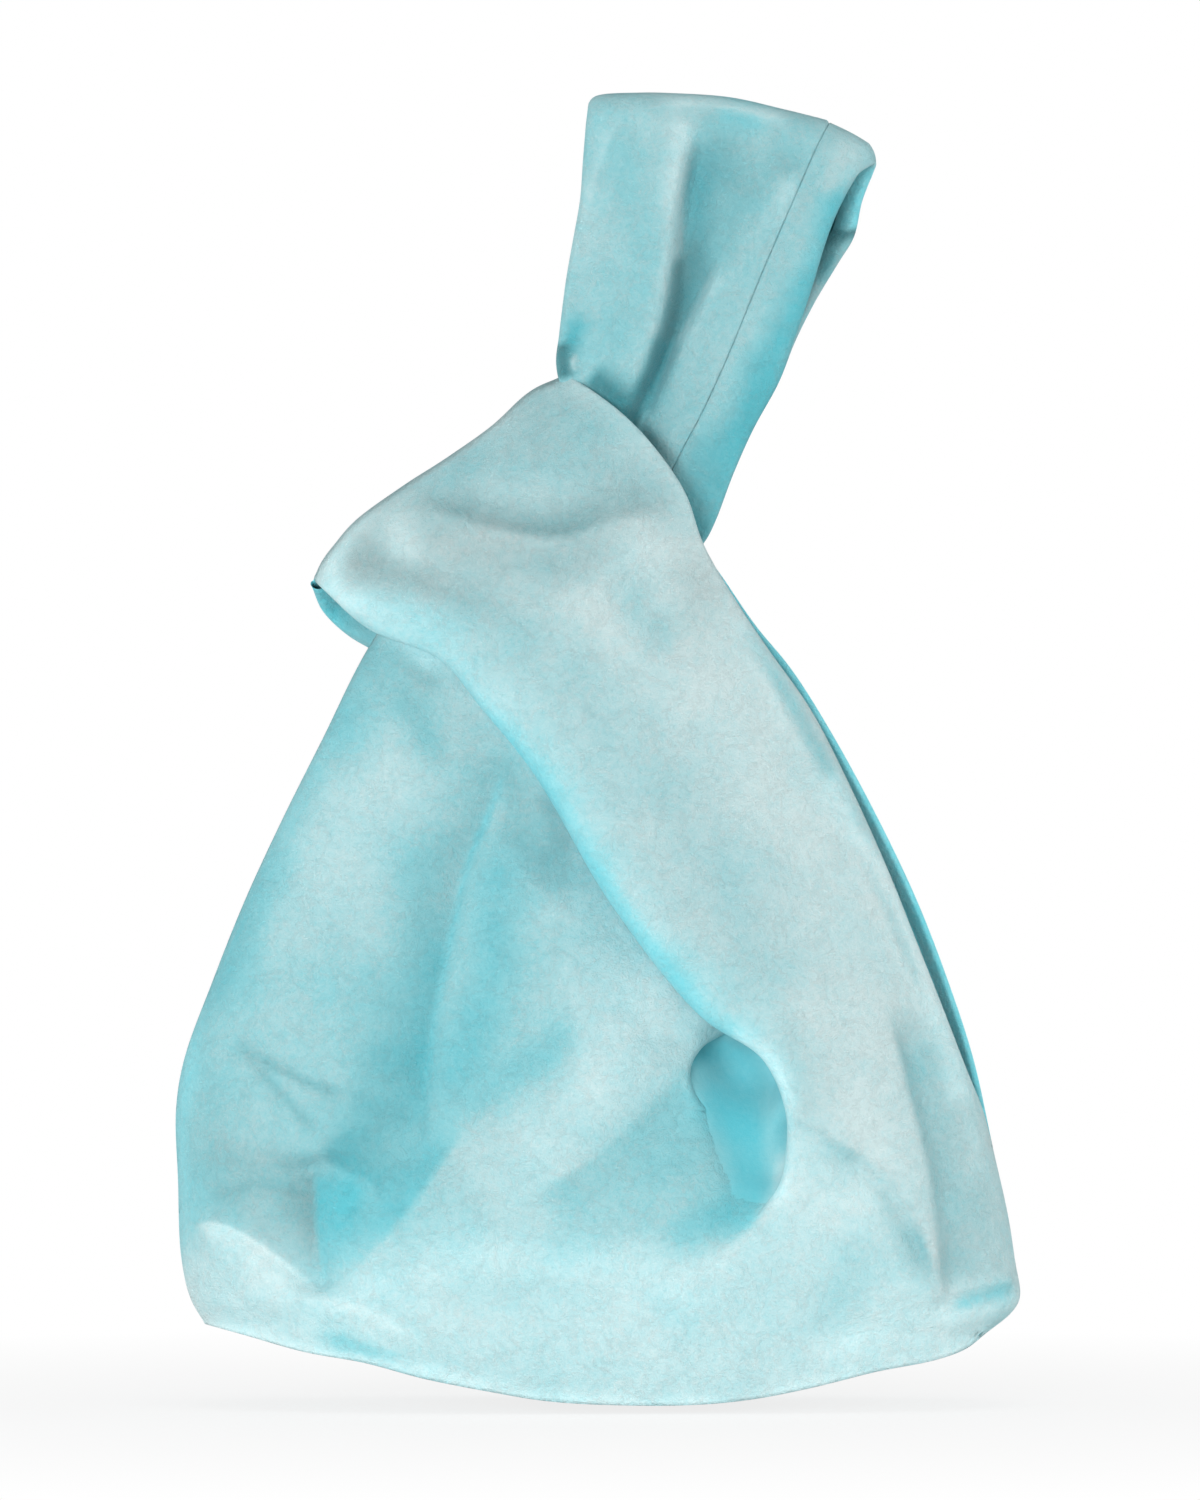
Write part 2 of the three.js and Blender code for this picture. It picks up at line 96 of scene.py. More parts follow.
def node(tree, kind, **inputs):
    """Adds a node, and sets the sockets that are named, or given as s0, s1 by their number."""
    made = tree.nodes.new(kind)
    for name, value in inputs.items():
        number = name[1:]
        key = int(number) if name[0] == "s" and number.isdigit() else name.replace("_", " ")
        if isinstance(value, bpy.types.NodeSocket):
            tree.links.new(value, made.inputs[key])
        else:
            made.inputs[key].default_value = value
    return made


def maths(tree, operation, *values, clamp=False):
    """Adds a maths node that takes the values in their order, and gives its result."""
    made = node(tree, "ShaderNodeMath", **{f"s{i}": value for i, value in enumerate(values)})
    made.operation = operation
    made.use_clamp = clamp
    return made.outputs[0]


def new_material(name):
    made = bpy.data.materials.new(name)
    made.use_nodes = True
    made.node_tree.nodes.clear()
    return made


floor_finish = new_material("floor_white")
tree = floor_finish.node_tree
lit = node(tree, "ShaderNodeBsdfDiffuse", Color=floor_white)
plain = node(tree, "ShaderNodeEmission", Color=white, Strength=1.0)
seen = node(tree, "ShaderNodeLightPath")
direct = maths(tree, "MAXIMUM", seen.outputs["Is Camera Ray"], seen.outputs["Is Glossy Ray"])
shown = maths(tree, "MAXIMUM", direct, seen.outputs["Is Transmission Ray"])
spot = node(tree, "ShaderNodeTexCoord")
away = node(tree, "ShaderNodeVectorMath", s0=spot.outputs["Object"])
away.operation = "LENGTH"
whiter = node(
    tree, "ShaderNodeMapRange", Value=away.outputs["Value"],
    From_Min=shaded_within, From_Max=plain_beyond, To_Min=plain_share_near, To_Max=1.0,
)
share = maths(tree, "MULTIPLY", shown, whiter.outputs[0])
both = node(tree, "ShaderNodeMixShader", s0=share, s1=lit.outputs[0], s2=plain.outputs[0])
node(tree, "ShaderNodeOutputMaterial", Surface=both.outputs[0])

floor_mesh = bpy.data.meshes.new("floor")
half = floor_size / 2
floor_corners = [(-half, -half, 0), (half, -half, 0), (half, half, 0), (-half, half, 0)]
floor_mesh.from_pydata(floor_corners, [], [(0, 1, 2, 3)])
floor_mesh.materials.append(floor_finish)
floor = bpy.data.objects.new("floor", floor_mesh)
bpy.context.scene.collection.objects.link(floor)

world = bpy.data.worlds.new("studio")
bpy.context.scene.world = world
world.use_nodes = True
world.node_tree.nodes.clear()
tree = world.node_tree
seen = node(tree, "ShaderNodeLightPath")
around = node(tree, "ShaderNodeBackground", Color=white, Strength=world_strength)
behind = node(tree, "ShaderNodeBackground", Color=white, Strength=1.0)
both = node(
    tree, "ShaderNodeMixShader",
    s0=seen.outputs["Is Camera Ray"], s1=around.outputs[0], s2=behind.outputs[0],
)
node(tree, "ShaderNodeOutputWorld", Surface=both.outputs[0])

# each lamp's place, size and power
lamps = [
    ("front_lamp", (-0.75, -2.0, 0.25), 0.8, 24.0),
    ("right_lamp", (1.5, -1.6, 0.4), 0.9, 5.0),
    ("top_lamp", (0.0, -0.2, 1.7), 0.9, 4.5),
    ("low_lamp", (0.1, -1.2, 0.05), 0.5, 2.5),
    ("left_side_lamp", (-1.8, 0.1, 0.2), 0.8, 8.0),
    ("right_side_lamp", (1.8, 0.1, 0.3), 0.8, 9.0),
]
lamp_target = Vector((0, 0, eye_height))
for lamp_name, lamp_place, lamp_size, lamp_power in lamps:
    lamp_data = bpy.data.lights.new(lamp_name, "AREA")
    lamp_data.shape = "DISK"
    lamp_data.size = lamp_size
    lamp_data.energy = lamp_power
    lamp = bpy.data.objects.new(lamp_name, lamp_data)
    lamp.location = lamp_place
    lamp.rotation_euler = (lamp_target - lamp.location).to_track_quat("-Z", "Y").to_euler()
    bpy.context.scene.collection.objects.link(lamp)


# Front of the bag. One piece of aqua velvet, cut in one with the long strap's foot at the left
# and the front half of the short strap at the right. The strap's raw edges are turned in and
# hemmed, and its end folds over to the back. Heights and radii are in millimetres.
velvet_thickness = 0.6
turned_share = 0.05
seam_half_gap = 0.15
smallest_turn = 0.35
neckline_turn = 1.2
armhole_turn = 1.4
turn_start = 0.1
pouch_half_depth = 45
bottom_radius = 25
bottom_tuck = 0.1
section_curve = 2.4
mouth_row = 1215
loop_half_depth = 18.5
loop_edge_drop = 0.12
loop_blend = (0.5, 0.8)
loop_fold_share = 0.1
crease_rounding = 2.5
fold_taper = 0.14
edge_opening = 3.0
edge_opening_run = 60
edge_turn_share = 0.48
bulge_power = 6
fold_onset = (2, 14)
cloth_ripples = [(0.35, 60), (0.12, 22)]
wave_count = 9
wave_overlap = 4
wave_shift = 7
shortest_wave = 0.7
wave_spread = 0.8
fold_steps = 30
mark_steps = 24
edge_steps = 400
hem_onset = (0.1, 0.8)
hem_overlap = 0.5
tuck_rows = 45
front_seed = 3
back_seed = 41
furthest_in = -0.5
mark_wander = 6
mark_wander_length = 130
mark_fade = 0.2
plain_tone = 0.62
foot_nap = 0.96
# the bottom is paler and brighter: painted light, as if lit from below
bottom_tone = 0.82
bottom_painted_light = 1.1

left_side = [
    (205, 1324), (190, 1297), (181, 1255), (178, 1180), (176, 1110), (184, 1060), (213, 980),
    (245, 900), (282, 820), (322, 740), (370, 645), (440, 548), (505, 470),
]
right_side = [
    (985, 1334), (1012, 1312), (1020, 1297), (1015, 1260), (1008, 1215), (993, 1148), (974, 1060),
    (948, 980), (917, 900), (879, 820), (836, 740), (793, 670), (757, 625), (728, 582), (704, 545),
]
bottom_line = [
    (205, 1324), (245, 1335), (305, 1352), (365, 1363), (425, 1379), (485, 1391), (545, 1401),
    (605, 1405), (695, 1405), (755, 1399), (815, 1387), (875, 1372), (935, 1360), (965, 1349),
    (985, 1334),
]
neckline = [
    (757, 1215), (779, 1203), (800, 1178), (806, 1150), (800, 1128), (768, 1116), (726, 1110),
    (703, 1103), (693, 1088), (691, 1068), (702, 1048), (738, 1020), (742, 850), (725, 740),
    (690, 655), (645, 612),
]
rim = [
    (757, 1215), (779, 1185), (786, 1150), (785, 1110), (762, 1059), (701, 1017), (608, 900),
    (540, 784), (484, 712), (440, 660), (368, 628), (312, 578),
]
armhole = [
    (993, 1148), (983, 1110), (967, 1070), (943, 1008), (920, 950), (888, 870), (852, 790),
    (811, 710), (769, 650), (742, 610), (704, 545), (686, 494), (660, 454), (628, 418), (594, 390),
    (564, 371),
]
# the rim's radius by the share of the way up, and the bulge of the loop's end across it
rim_radii = [(0, smallest_turn), (0.03, 3), (0.1, 5), (0.7, 5), (0.9, 3), (1, 1.5)]
loop_bulge = [
    (0, 0), (0.04, 6), (0.1, 11), (0.23, 17), (0.39, 14), (0.57, 8), (0.73, 5), (0.87, 8), (1, 0),
]
# share of the full depth by the share of the bag's height
pouch_profile = [
    (1, 0), (1, 0.18), (0.9, 0.3), (0.72, 0.4), (0.54, 0.52), (0.42, 0.64), (0.38, 0.85),
]
foot_profile = [
    (1, 0), (1, 0.14), (0.86, 0.2), (0.66, 0.3), (0.46, 0.4), (0.32, 0.5), (0.22, 0.62),
    (0.18, 0.8),
]


def smooth_line(points, steps=160):
    """A smooth curve through the points, as a table of pairs."""
    through = np.array(points, float)
    through = np.vstack([2 * through[0] - through[1], through, 2 * through[-1] - through[-2]])
    gaps = np.sqrt(np.linalg.norm(np.diff(through, axis=0), axis=1))
    knots = np.concatenate([[0], np.cumsum(gaps)])
    at = np.linspace(knots[1], knots[-2], steps + 1)
    i = np.clip(np.searchsorted(knots, at, side="right") - 1, 1, len(through) - 3)

    def between(a, b, start, end):
        along = ((at - start) / (end - start))[:, None]
        return a * (1 - along) + b * along

    a = between(through[i - 1], through[i], knots[i - 1], knots[i])
    b = between(through[i], through[i + 1], knots[i], knots[i + 1])
    c = between(through[i + 1], through[i + 2], knots[i + 1], knots[i + 2])
    d = between(a, b, knots[i - 1], knots[i + 1])
    e = between(b, c, knots[i], knots[i + 2])
    return between(d, e, knots[i], knots[i + 1])


def ramp(value, low, high):
    """0 at low, 1 at high, with a soft start and end."""
    share = np.clip((value - low) / (high - low), 0, 1)
    return share * share * (3 - 2 * share)


def column_at(line, row):
    """The column where a rising line crosses a row."""
    return np.interp(-row, -line[:, 1], line[:, 0])


left_line = smooth_line(left_side)
right_line = smooth_line(right_side)
foot_line = smooth_line(bottom_line)
pouch_curve = smooth_line(pouch_profile)
foot_curve = smooth_line(foot_profile)
bag_rows = foot_row - top_row


def share_up(plane):
    return (foot_row - plane[..., 1]) / bag_rows


def roundness(plane, section_right):
    """1 in the middle of the bag's section at a height, and 0 at its two sides."""
    left = column_at(left_line, plane[..., 1])
    right = column_at(section_right, plane[..., 1])
    across = np.clip(np.abs((2 * plane[..., 0] - left - right) / (right - left)), 0, 1)
    return (1 - across ** section_curve) ** (1 / section_curve)


def pouch_depth(plane, section_right=right_line):
    under = np.interp(plane[..., 0], foot_line[:, 0], foot_line[:, 1])
    rise = np.clip((under - plane[..., 1]) * pixel / millimetre / bottom_radius, 0, 1)
    full = np.interp(share_up(plane), pouch_curve[:, 1], pouch_curve[:, 0])
    rounding = 1 - bottom_tuck * (1 - rise) ** 2
    return seam_half_gap + pouch_half_depth * full * rounding * roundness(plane, section_right)


def edge_gap(row):
    """How far the two layers of the strap's foot stand apart at their left edge."""
    return edge_opening * ramp((mouth_row - row) * pixel / millimetre, 0, edge_opening_run)


def foot_depth(plane):
    full = pouch_half_depth * np.interp(share_up(plane), foot_curve[:, 1], foot_curve[:, 0])
    opening = edge_gap(plane[..., 1])
    return seam_half_gap + opening + (full - opening) * roundness(plane, right_line)


def nearest_on(plane, line):
    """Distance to a line, positive at the right of its travel, and the share along it."""
    best = np.full(plane.shape[:-1], 1e9)
    side = np.zeros(plane.shape[:-1])
    along = np.zeros(plane.shape[:-1])
    for number in range(len(line) - 1):
        start = line[number]
        step = line[number + 1] - start
        reach = plane - start
        share = np.clip((reach @ step) / (step @ step), 0, 1)
        gap = reach - share[..., None] * step
        distance = np.hypot(gap[..., 0], gap[..., 1])
        closer = distance < best
        best = np.where(closer, distance, best)
        cross = step[0] * reach[..., 1] - step[1] * reach[..., 0]
        side = np.where(closer, np.sign(cross), side)
        along = np.where(closer, (number + share) / (len(line) - 1), along)
    return best * side, along


def folded(plane, folds):
    """Height that the folds add: each has a height and a width at its left and at its right, or
    one pair for both. With no softness it is a sharp crease of one height."""
    total = np.zeros(plane.shape[:-1])
    for points, *sides, softness in folds:
        left_height, left_width = sides[0]
        right_height, right_width = sides[-1]
        distance, along = nearest_on(plane, smooth_line(points, fold_steps))
        taper = ramp(along, 0, fold_taper) * ramp(along, 1, 1 - fold_taper)
        if softness == 0:
            width = np.where(distance < 0, left_width, right_width)
            total += taper * left_height * np.exp(-np.hypot(distance, crease_rounding) / width)
            continue
        at_left = left_height * np.exp(-((distance / left_width) ** 2))
        at_right = right_height * np.exp(-((distance / right_width) ** 2))
        turn = 0.5 + 0.5 * np.tanh(distance / softness)
        total += taper * (at_left * (1 - turn) + at_right * turn)
    return total


def ripple(plane, length, seed):
    """Gentle random waves of about that length, between about -1 and 1."""
    chance = np.random.default_rng(seed)
    total = np.zeros(plane.shape[:-1])
    for turn, start, stretch in chance.uniform(0, 1, (wave_count, 3)):
        heading = np.array([math.cos(turn * 2 * math.pi), math.sin(turn * 2 * math.pi)])
        wave = length * (shortest_wave + wave_spread * stretch)
        total += np.sin(plane @ heading * 2 * math.pi / wave + start * wave_shift)
    return total / wave_overlap


def rippled(plane, ripples, seed):
    """Waves of several sizes laid over each other, each with its height and its length."""
    total = np.zeros(plane.shape[:-1])
    for number, (height, length) in enumerate(ripples):
        total += height * ripple(plane, length, seed + 5 * number)
    return total


def marked(plane, marks, tone, nap_and_shade, seed):
    """How pale and how bright the pile looks, with painted shade and highlights: marks pull both
    towards their own values.
    A mark wanders a little off its line, unless it has a width at its left and one at its
    right: then it stays on its line, and fades out at both ends."""
    sideways = [ripple(plane, mark_wander_length, seed + axis) for axis in (0, 1)]
    shifted = plane + mark_wander * np.stack(sideways, axis=-1)
    for points, widths, mark_tone, mark_nap_and_shade in marks:
        two_sided = isinstance(widths, tuple)
        where_marked = plane if two_sided else shifted
        distance, along = nearest_on(where_marked, smooth_line(points, mark_steps))
        left_width, right_width = np.broadcast_to(widths, 2)
        weight = np.exp(-((distance / np.where(distance < 0, left_width, right_width)) ** 2))
        if two_sided:
            weight = weight * ramp(along, 0, mark_fade) * ramp(along, 1, 1 - mark_fade)
        tone = tone + (mark_tone - tone) * weight
        nap_and_shade = nap_and_shade + (mark_nap_and_shade - nap_and_shade) * weight
    return tone, nap_and_shade


def hemmed(left_edge, right_edge, left_radius, right_radius, spacing, hem=45, turns=8):
    """Rows of cloth between two edges. Each edge is turned under round its radius, and hemmed.
    Gives the places, how far each lies behind the face, and how many columns each hem has."""
    def inward(edge, sign):
        along = np.gradient(edge, axis=0)
        along /= np.linalg.norm(along, axis=1)[:, None]
        return sign * np.stack([-along[:, 1], along[:, 0]], axis=-1)

    angles = np.linspace(-math.pi / 2, math.pi / 2, turns + 1)[:-1]
    sides = []
    for edge, radius, sign in [(left_edge, left_radius, 1), (right_edge, right_radius, -1)]:
        into = inward(edge, sign)
        reach = radius * millimetre / pixel
        turned = edge[:, None] + into[:, None] * (reach[:, None] * (1 - np.cos(angles)))[..., None]
        drop = radius[:, None] * (1 - np.sin(angles))
        far = reach + hem * ramp(radius, *hem_onset)
        end = edge[:, None] + into[:, None] * far[:, None, None]
        places = np.concatenate([end, turned], axis=1)
        drops = np.concatenate([2 * radius[:, None], drop], axis=1)
        sides.append((places, drops, edge + into * reach[:, None]))
    (left, left_drop, start), (right, right_drop, stop) = sides
    flat = start[:, None] + (stop - start)[:, None] * spacing[None, :, None]
    places = np.concatenate([left, flat, right[:, ::-1]], axis=1)
    drops = np.concatenate([left_drop, np.zeros(flat.shape[:2]), right_drop[:, ::-1]], axis=1)
    return places, drops, left.shape[1]


def in_space(plane, depth, facing=1):
    """Places on the picture, and how far in front of the bag's middle plane, as metres."""
    nearer = 1 - depth * millimetre / camera_distance
    x = (plane[..., 0] - middle_column) * pixel * nearer
    z = eye_height + (picture_height / 2 - plane[..., 1]) * pixel * nearer
    return np.stack([x, -facing * depth * millimetre, z], axis=-1)


def grid_faces(ids):
    corners = [ids[:-1, :-1], ids[:-1, 1:], ids[1:, 1:], ids[1:, :-1]]
    return np.stack(corners, axis=-1).reshape(-1, 4)


def numbered(faces, facing):
    """The points that faces use, and the faces by the numbers of those alone, turned outwards."""
    used = np.unique(faces)
    numbering = np.zeros(used.max() + 1, int)
    numbering[used] = np.arange(len(used))
    return used, numbering[faces][:, ::facing]


def cloth_object(name, points, faces, tone, nap_and_shade, finish, thickness, flat):
    """A mesh of cloth, its face outwards and its thickness inwards, with its pile's lie and its
    painted shade and highlights on it.
    Places that aren't flat are turned under, and lie as thin as the fold lets them."""
    mesh = bpy.data.meshes.new(name)
    mesh.from_pydata(points.tolist(), [], faces.tolist())
    for label, values in [("tone", tone), ("nap_and_shade", nap_and_shade)]:
        mesh.attributes.new(label, "FLOAT", "POINT").data.foreach_set("value", values)
    mesh.materials.append(finish)
    mesh.shade_smooth()
    mesh.update()
    made = bpy.data.objects.new(name, mesh)
    bpy.context.scene.collection.objects.link(made)
    body = made.modifiers.new("thickness", "SOLIDIFY")
    body.thickness = thickness * millimetre
    body.offset = -1
    body.use_even_offset = False
    spread_out = made.vertex_groups.new(name="flat")
    spread_out.add(np.flatnonzero(flat).tolist(), 1.0, "REPLACE")
    body.vertex_group = "flat"
    body.thickness_vertex_group = turned_share
    return made


# The pile's grain: short clumps of pile about a millimetre apart, finer points over them, and
# wandering veins where the cloth has been creased.
clump_detail = 5
clump_roughness = 0.65
point_detail = 2
point_share = 0.45
vein_detail = 6
vein_roughness = 0.68
vein_distortion = 0.5
vein_half_width = 0.03
vein_height = 0.16
middle_height = 0.75
grain = bpy.data.node_groups.new("pile grain", "ShaderNodeTree")
for socket in ["Clumps", "Points", "Veins"]:
    grain.interface.new_socket(socket, in_out="INPUT", socket_type="NodeSocketFloat")
for socket in ["Height", "Shade"]:
    grain.interface.new_socket(socket, in_out="OUTPUT", socket_type="NodeSocketFloat")
entry = node(grain, "NodeGroupInput")
where = node(grain, "ShaderNodeTexCoord").outputs["Object"]
clumps = node(
    grain, "ShaderNodeTexNoise", Vector=where, Scale=entry.outputs["Clumps"],
    Detail=clump_detail, Roughness=clump_roughness,
)
pile_points = node(
    grain, "ShaderNodeTexNoise", Vector=where, Scale=entry.outputs["Points"], Detail=point_detail,
)
wander = node(
    grain, "ShaderNodeTexNoise", Vector=where, Scale=entry.outputs["Veins"],
    Detail=vein_detail, Roughness=vein_roughness, Distortion=vein_distortion,
)
finer = maths(grain, "MULTIPLY", pile_points.outputs[0], point_share)
summed = maths(grain, "ADD", clumps.outputs[0], finer)
off_vein = maths(grain, "ABSOLUTE", maths(grain, "SUBTRACT", wander.outputs[0], 0.5))
vein = node(
    grain, "ShaderNodeMapRange", Value=off_vein, From_Max=vein_half_width, To_Min=1.0, To_Max=0.0,
)
vein.interpolation_type = "SMOOTHSTEP"
veined = maths(grain, "MULTIPLY_ADD", vein.outputs[0], vein_height, summed)
shade = maths(grain, "SUBTRACT", veined, middle_height)
node(grain, "NodeGroupOutput", Height=veined, Shade=shade)

# The lie of the pile: it shows deep aqua where it leans away and pale where it is brushed flat.
# Its brightness input then scales the colour; tone and brightness carry painted shade and painted
# highlights as well as the pile's lie.
mottle = 0.5
mottle_scale = 50
mottle_detail = 3
mottle_roughness = 0.55
sheen = 0.26
lie = bpy.data.node_groups.new("pile lie and painted light", "ShaderNodeTree")
for socket in ["Deep", "Clear", "Pale"]:
    lie.interface.new_socket(socket, in_out="INPUT", socket_type="NodeSocketColor")
for socket in ["Tone", "Nap_and_shade", "Mottle", "Scale"]:
    lie.interface.new_socket(socket, in_out="INPUT", socket_type="NodeSocketFloat")
lie.interface.new_socket("Color", in_out="OUTPUT", socket_type="NodeSocketColor")
entry = node(lie, "NodeGroupInput")
where = node(lie, "ShaderNodeTexCoord").outputs["Object"]
broad = node(
    lie, "ShaderNodeTexNoise", Vector=where, Scale=entry.outputs["Scale"],
    Detail=mottle_detail, Roughness=mottle_roughness,
)
even = maths(lie, "SUBTRACT", broad.outputs[0], 0.5)
varied = maths(lie, "MULTIPLY", even, entry.outputs["Mottle"])
tone_sum = maths(lie, "ADD", entry.outputs["Tone"], varied)
lower = maths(lie, "MULTIPLY", tone_sum, 2.0, clamp=True)
upper = maths(lie, "MULTIPLY_ADD", tone_sum, 2.0, -1.0, clamp=True)
colour = entry.outputs["Deep"]
for factor, further in [(lower, entry.outputs["Clear"]), (upper, entry.outputs["Pale"])]:
    step = node(lie, "ShaderNodeMix")
    step.data_type = "RGBA"
    lie.links.new(factor, step.inputs["Factor"])
    lie.links.new(colour, step.inputs[6])
    lie.links.new(further, step.inputs[7])
    colour = step.outputs[2]
dimmed = node(lie, "ShaderNodeVectorMath", s0=colour)
dimmed.operation = "SCALE"
lie.links.new(entry.outputs["Nap_and_shade"], dimmed.inputs["Scale"])
node(lie, "NodeGroupOutput", Color=dimmed.outputs[0])


def painted(red, green, blue):
    """A colour as it shows on a screen, 0 to 255, as the numbers that a shader takes."""
    shares = [value / 255 for value in (red, green, blue)]
    return (*[s / 12.92 if s <= 0.04045 else ((s + 0.055) / 1.055) ** 2.4 for s in shares], 1)


deep_aqua = painted(98, 194, 206)
clear_aqua = painted(148, 210, 217)
pale_aqua = painted(206, 227, 228)
sheen_aqua = painted(226, 250, 252)
pile_sizes = [("Clumps", 620), ("Points", 2200), ("Veins", 150)]
pile_looks = [
    ("Deep", deep_aqua), ("Clear", clear_aqua), ("Pale", pale_aqua), ("Mottle", mottle),
    ("Scale", mottle_scale),
]
pile_height = 0.0012
velvet_roughness = 0.88
sheen_roughness = 0.45
velvet_gloss = 0.12


def velvet(name, relief=0.6, speckle=0.45):
    """Velvet whose pile is as rough and as speckled as given."""
    made = new_material(name)
    tree = made.node_tree
    tone, nap_and_shade = [node(tree, "ShaderNodeAttribute") for _ in range(2)]
    tone.attribute_name = "tone"
    nap_and_shade.attribute_name = "nap_and_shade"
    surface, colour = [node(tree, "ShaderNodeGroup") for _ in range(2)]
    for group, source, settings in [(surface, grain, pile_sizes), (colour, lie, pile_looks)]:
        group.node_tree = source
        for socket, value in settings:
            group.inputs[socket].default_value = value
    speckled = maths(tree, "MULTIPLY_ADD", surface.outputs["Shade"], speckle, tone.outputs["Fac"])
    tree.links.new(speckled, colour.inputs["Tone"])
    # the marks' painted shade and highlights, with the pile's brightness, scale the colour
    tree.links.new(nap_and_shade.outputs["Fac"], colour.inputs["Nap_and_shade"])
    bump = node(
        tree, "ShaderNodeBump",
        Strength=relief, Distance=pile_height, Height=surface.outputs["Height"],
    )
    shader = node(
        tree, "ShaderNodeBsdfPrincipled", Base_Color=colour.outputs["Color"],
        Roughness=velvet_roughness, Specular_IOR_Level=velvet_gloss, Normal=bump.outputs[0],
        Sheen_Weight=sheen, Sheen_Roughness=sheen_roughness, Sheen_Tint=sheen_aqua,
    )
    node(tree, "ShaderNodeOutputMaterial", Surface=shader.outputs[0])
    return made


long_crease = [(428, 1054), (440, 984), (468, 860), (488, 812)]
strap_valley = [(454, 511), (496, 524), (535, 532), (572, 531), (602, 520), (640, 510)]
foot_edge = [(180, 1200), (180, 1060), (222, 960), (300, 795), (370, 640)]
long_upper_crease = [(228, 1042), (262, 1062), (314, 1086), (350, 1098)]
forked_crease = [(250, 1060), (285, 1100), (318, 1136)]
inner_crease = [(350, 1096), (385, 1112), (420, 1124)]
lower_crease = [(202, 1206), (236, 1192), (270, 1186), (312, 1190)]
# each fold's line, then its height and width at the left and at the right, then its softness
front_folds = [
    # ridge round the lower left corner, sharp above
    ([(186, 1236), (206, 1226), (222, 1226), (242, 1244), (272, 1264), (310, 1292), (348, 1308),
      (395, 1342), (440, 1380)], (-3.2, 40), (1.2, 42), 9),
    # the rim's soft ridge as it runs out along the bottom
    ([(785, 1161), (762, 1217), (720, 1255), (673, 1278), (603, 1287), (520, 1290), (440, 1292),
      (370, 1295)], (1.5, 60), (-3.0, 60), 14),
    # pocket pressed in at the crease's foot
    ([(323, 1300), (318, 1250), (315, 1205), (308, 1150)], (-7.0, 30), (-7.0, 36), 0),
    ([(305, 1150), (345, 1167), (372, 1181), (400, 1212)], (1.0, 26), (-1.6, 26), 7),
    ([(322, 1300), (366, 1250), (405, 1200), (446, 1140)], (-1.6, 34), (1.2, 50), 12),
    # the long pressed crease in the strap's foot
    ([(400, 1190), (426, 1110), *long_crease, (510, 750)], (-4.6, 40), (-4.6, 13), 0),
    ([(500, 1215), (570, 1120), (650, 1020)], (2.5, 45), 20),
    ([(445, 1100), (500, 1055), (560, 1015)], (-1.5, 25), 20),
    ([(470, 1262), (543, 1215), (610, 1160), (665, 1118), (700, 1090)], (-2.2, 20), (-2.2, 26), 0),
    ([(500, 800), (535, 850), (575, 870)], (-2.0, 26), 16),
    # small creases pressed in the foot's left
    (long_upper_crease, (-2.6, 10), (-2.6, 7), 0),
    (forked_crease, (-2.2, 10), (-2.2, 7), 0),
    (inner_crease, (-1.8, 9), (-1.8, 7), 0),
    (lower_crease, (-2.4, 9), (-2.4, 7), 0),
    ([(592, 1030), (640, 1036), (690, 1040)], (-1.0, 7), 0),
    # the lower right corner
    ([(888, 1000), (907, 1070), (928, 1150), (939, 1220), (944, 1275), (946, 1310)],
     (-4.5, 44), (1.4, 40), 6),
    ([(925, 1305), (975, 1292), (1022, 1284)], (1.6, 22), (-3.0, 20), 5),
    ([(780, 1112), (812, 1133), (881, 1175), (919, 1236), (934, 1284)], (1.2, 30), (-2.2, 20), 5),
    ([(836, 1170), (850, 1220), (846, 1270)], (-1.2, 22), 16),
    # across the short strap, over the handle's neck inside
    ([(405, 498), *strap_valley, (684, 502)], (-4.6, 30), (0.6, 26), 6),
    ([(612, 584), (640, 610), (672, 636)], (-1.6, 26), 16),
    ([(455, 456), (480, 449), (500, 441), (522, 430)], (-3.0, 10), (-3.0, 13), 0),
    ([(524, 415), (540, 432), (560, 444)], (-1.0, 22), 14),
    ([(345, 545), (375, 558), (410, 575), (450, 600), (500, 616)], (-1.6, 24), 16),
    ([(395, 530), (412, 548)], (1.0, 22), 14),
    ([(560, 640), (660, 760), (760, 940), (800, 1080)], (1.4, 60), 30),
    ([(740, 760), (800, 880), (850, 1010)], (-1.2, 30), 20),
]
mouth_corner = [
    (772, 1244), (752, 1195), (735, 1162), (719, 1130), (712, 1098), (712, 1060), (722, 1010),
]
foot_tuck = [(mouth_corner, (-1.5, 40), (-15, 110), 14)]
hollow_tuck = [
    (mouth_corner, (-1.0, 30), (-9.5, 110), 20),
    ([(690, 1020), (715, 1052), (745, 1070), (790, 1085)], (-7, 34), 10),
]
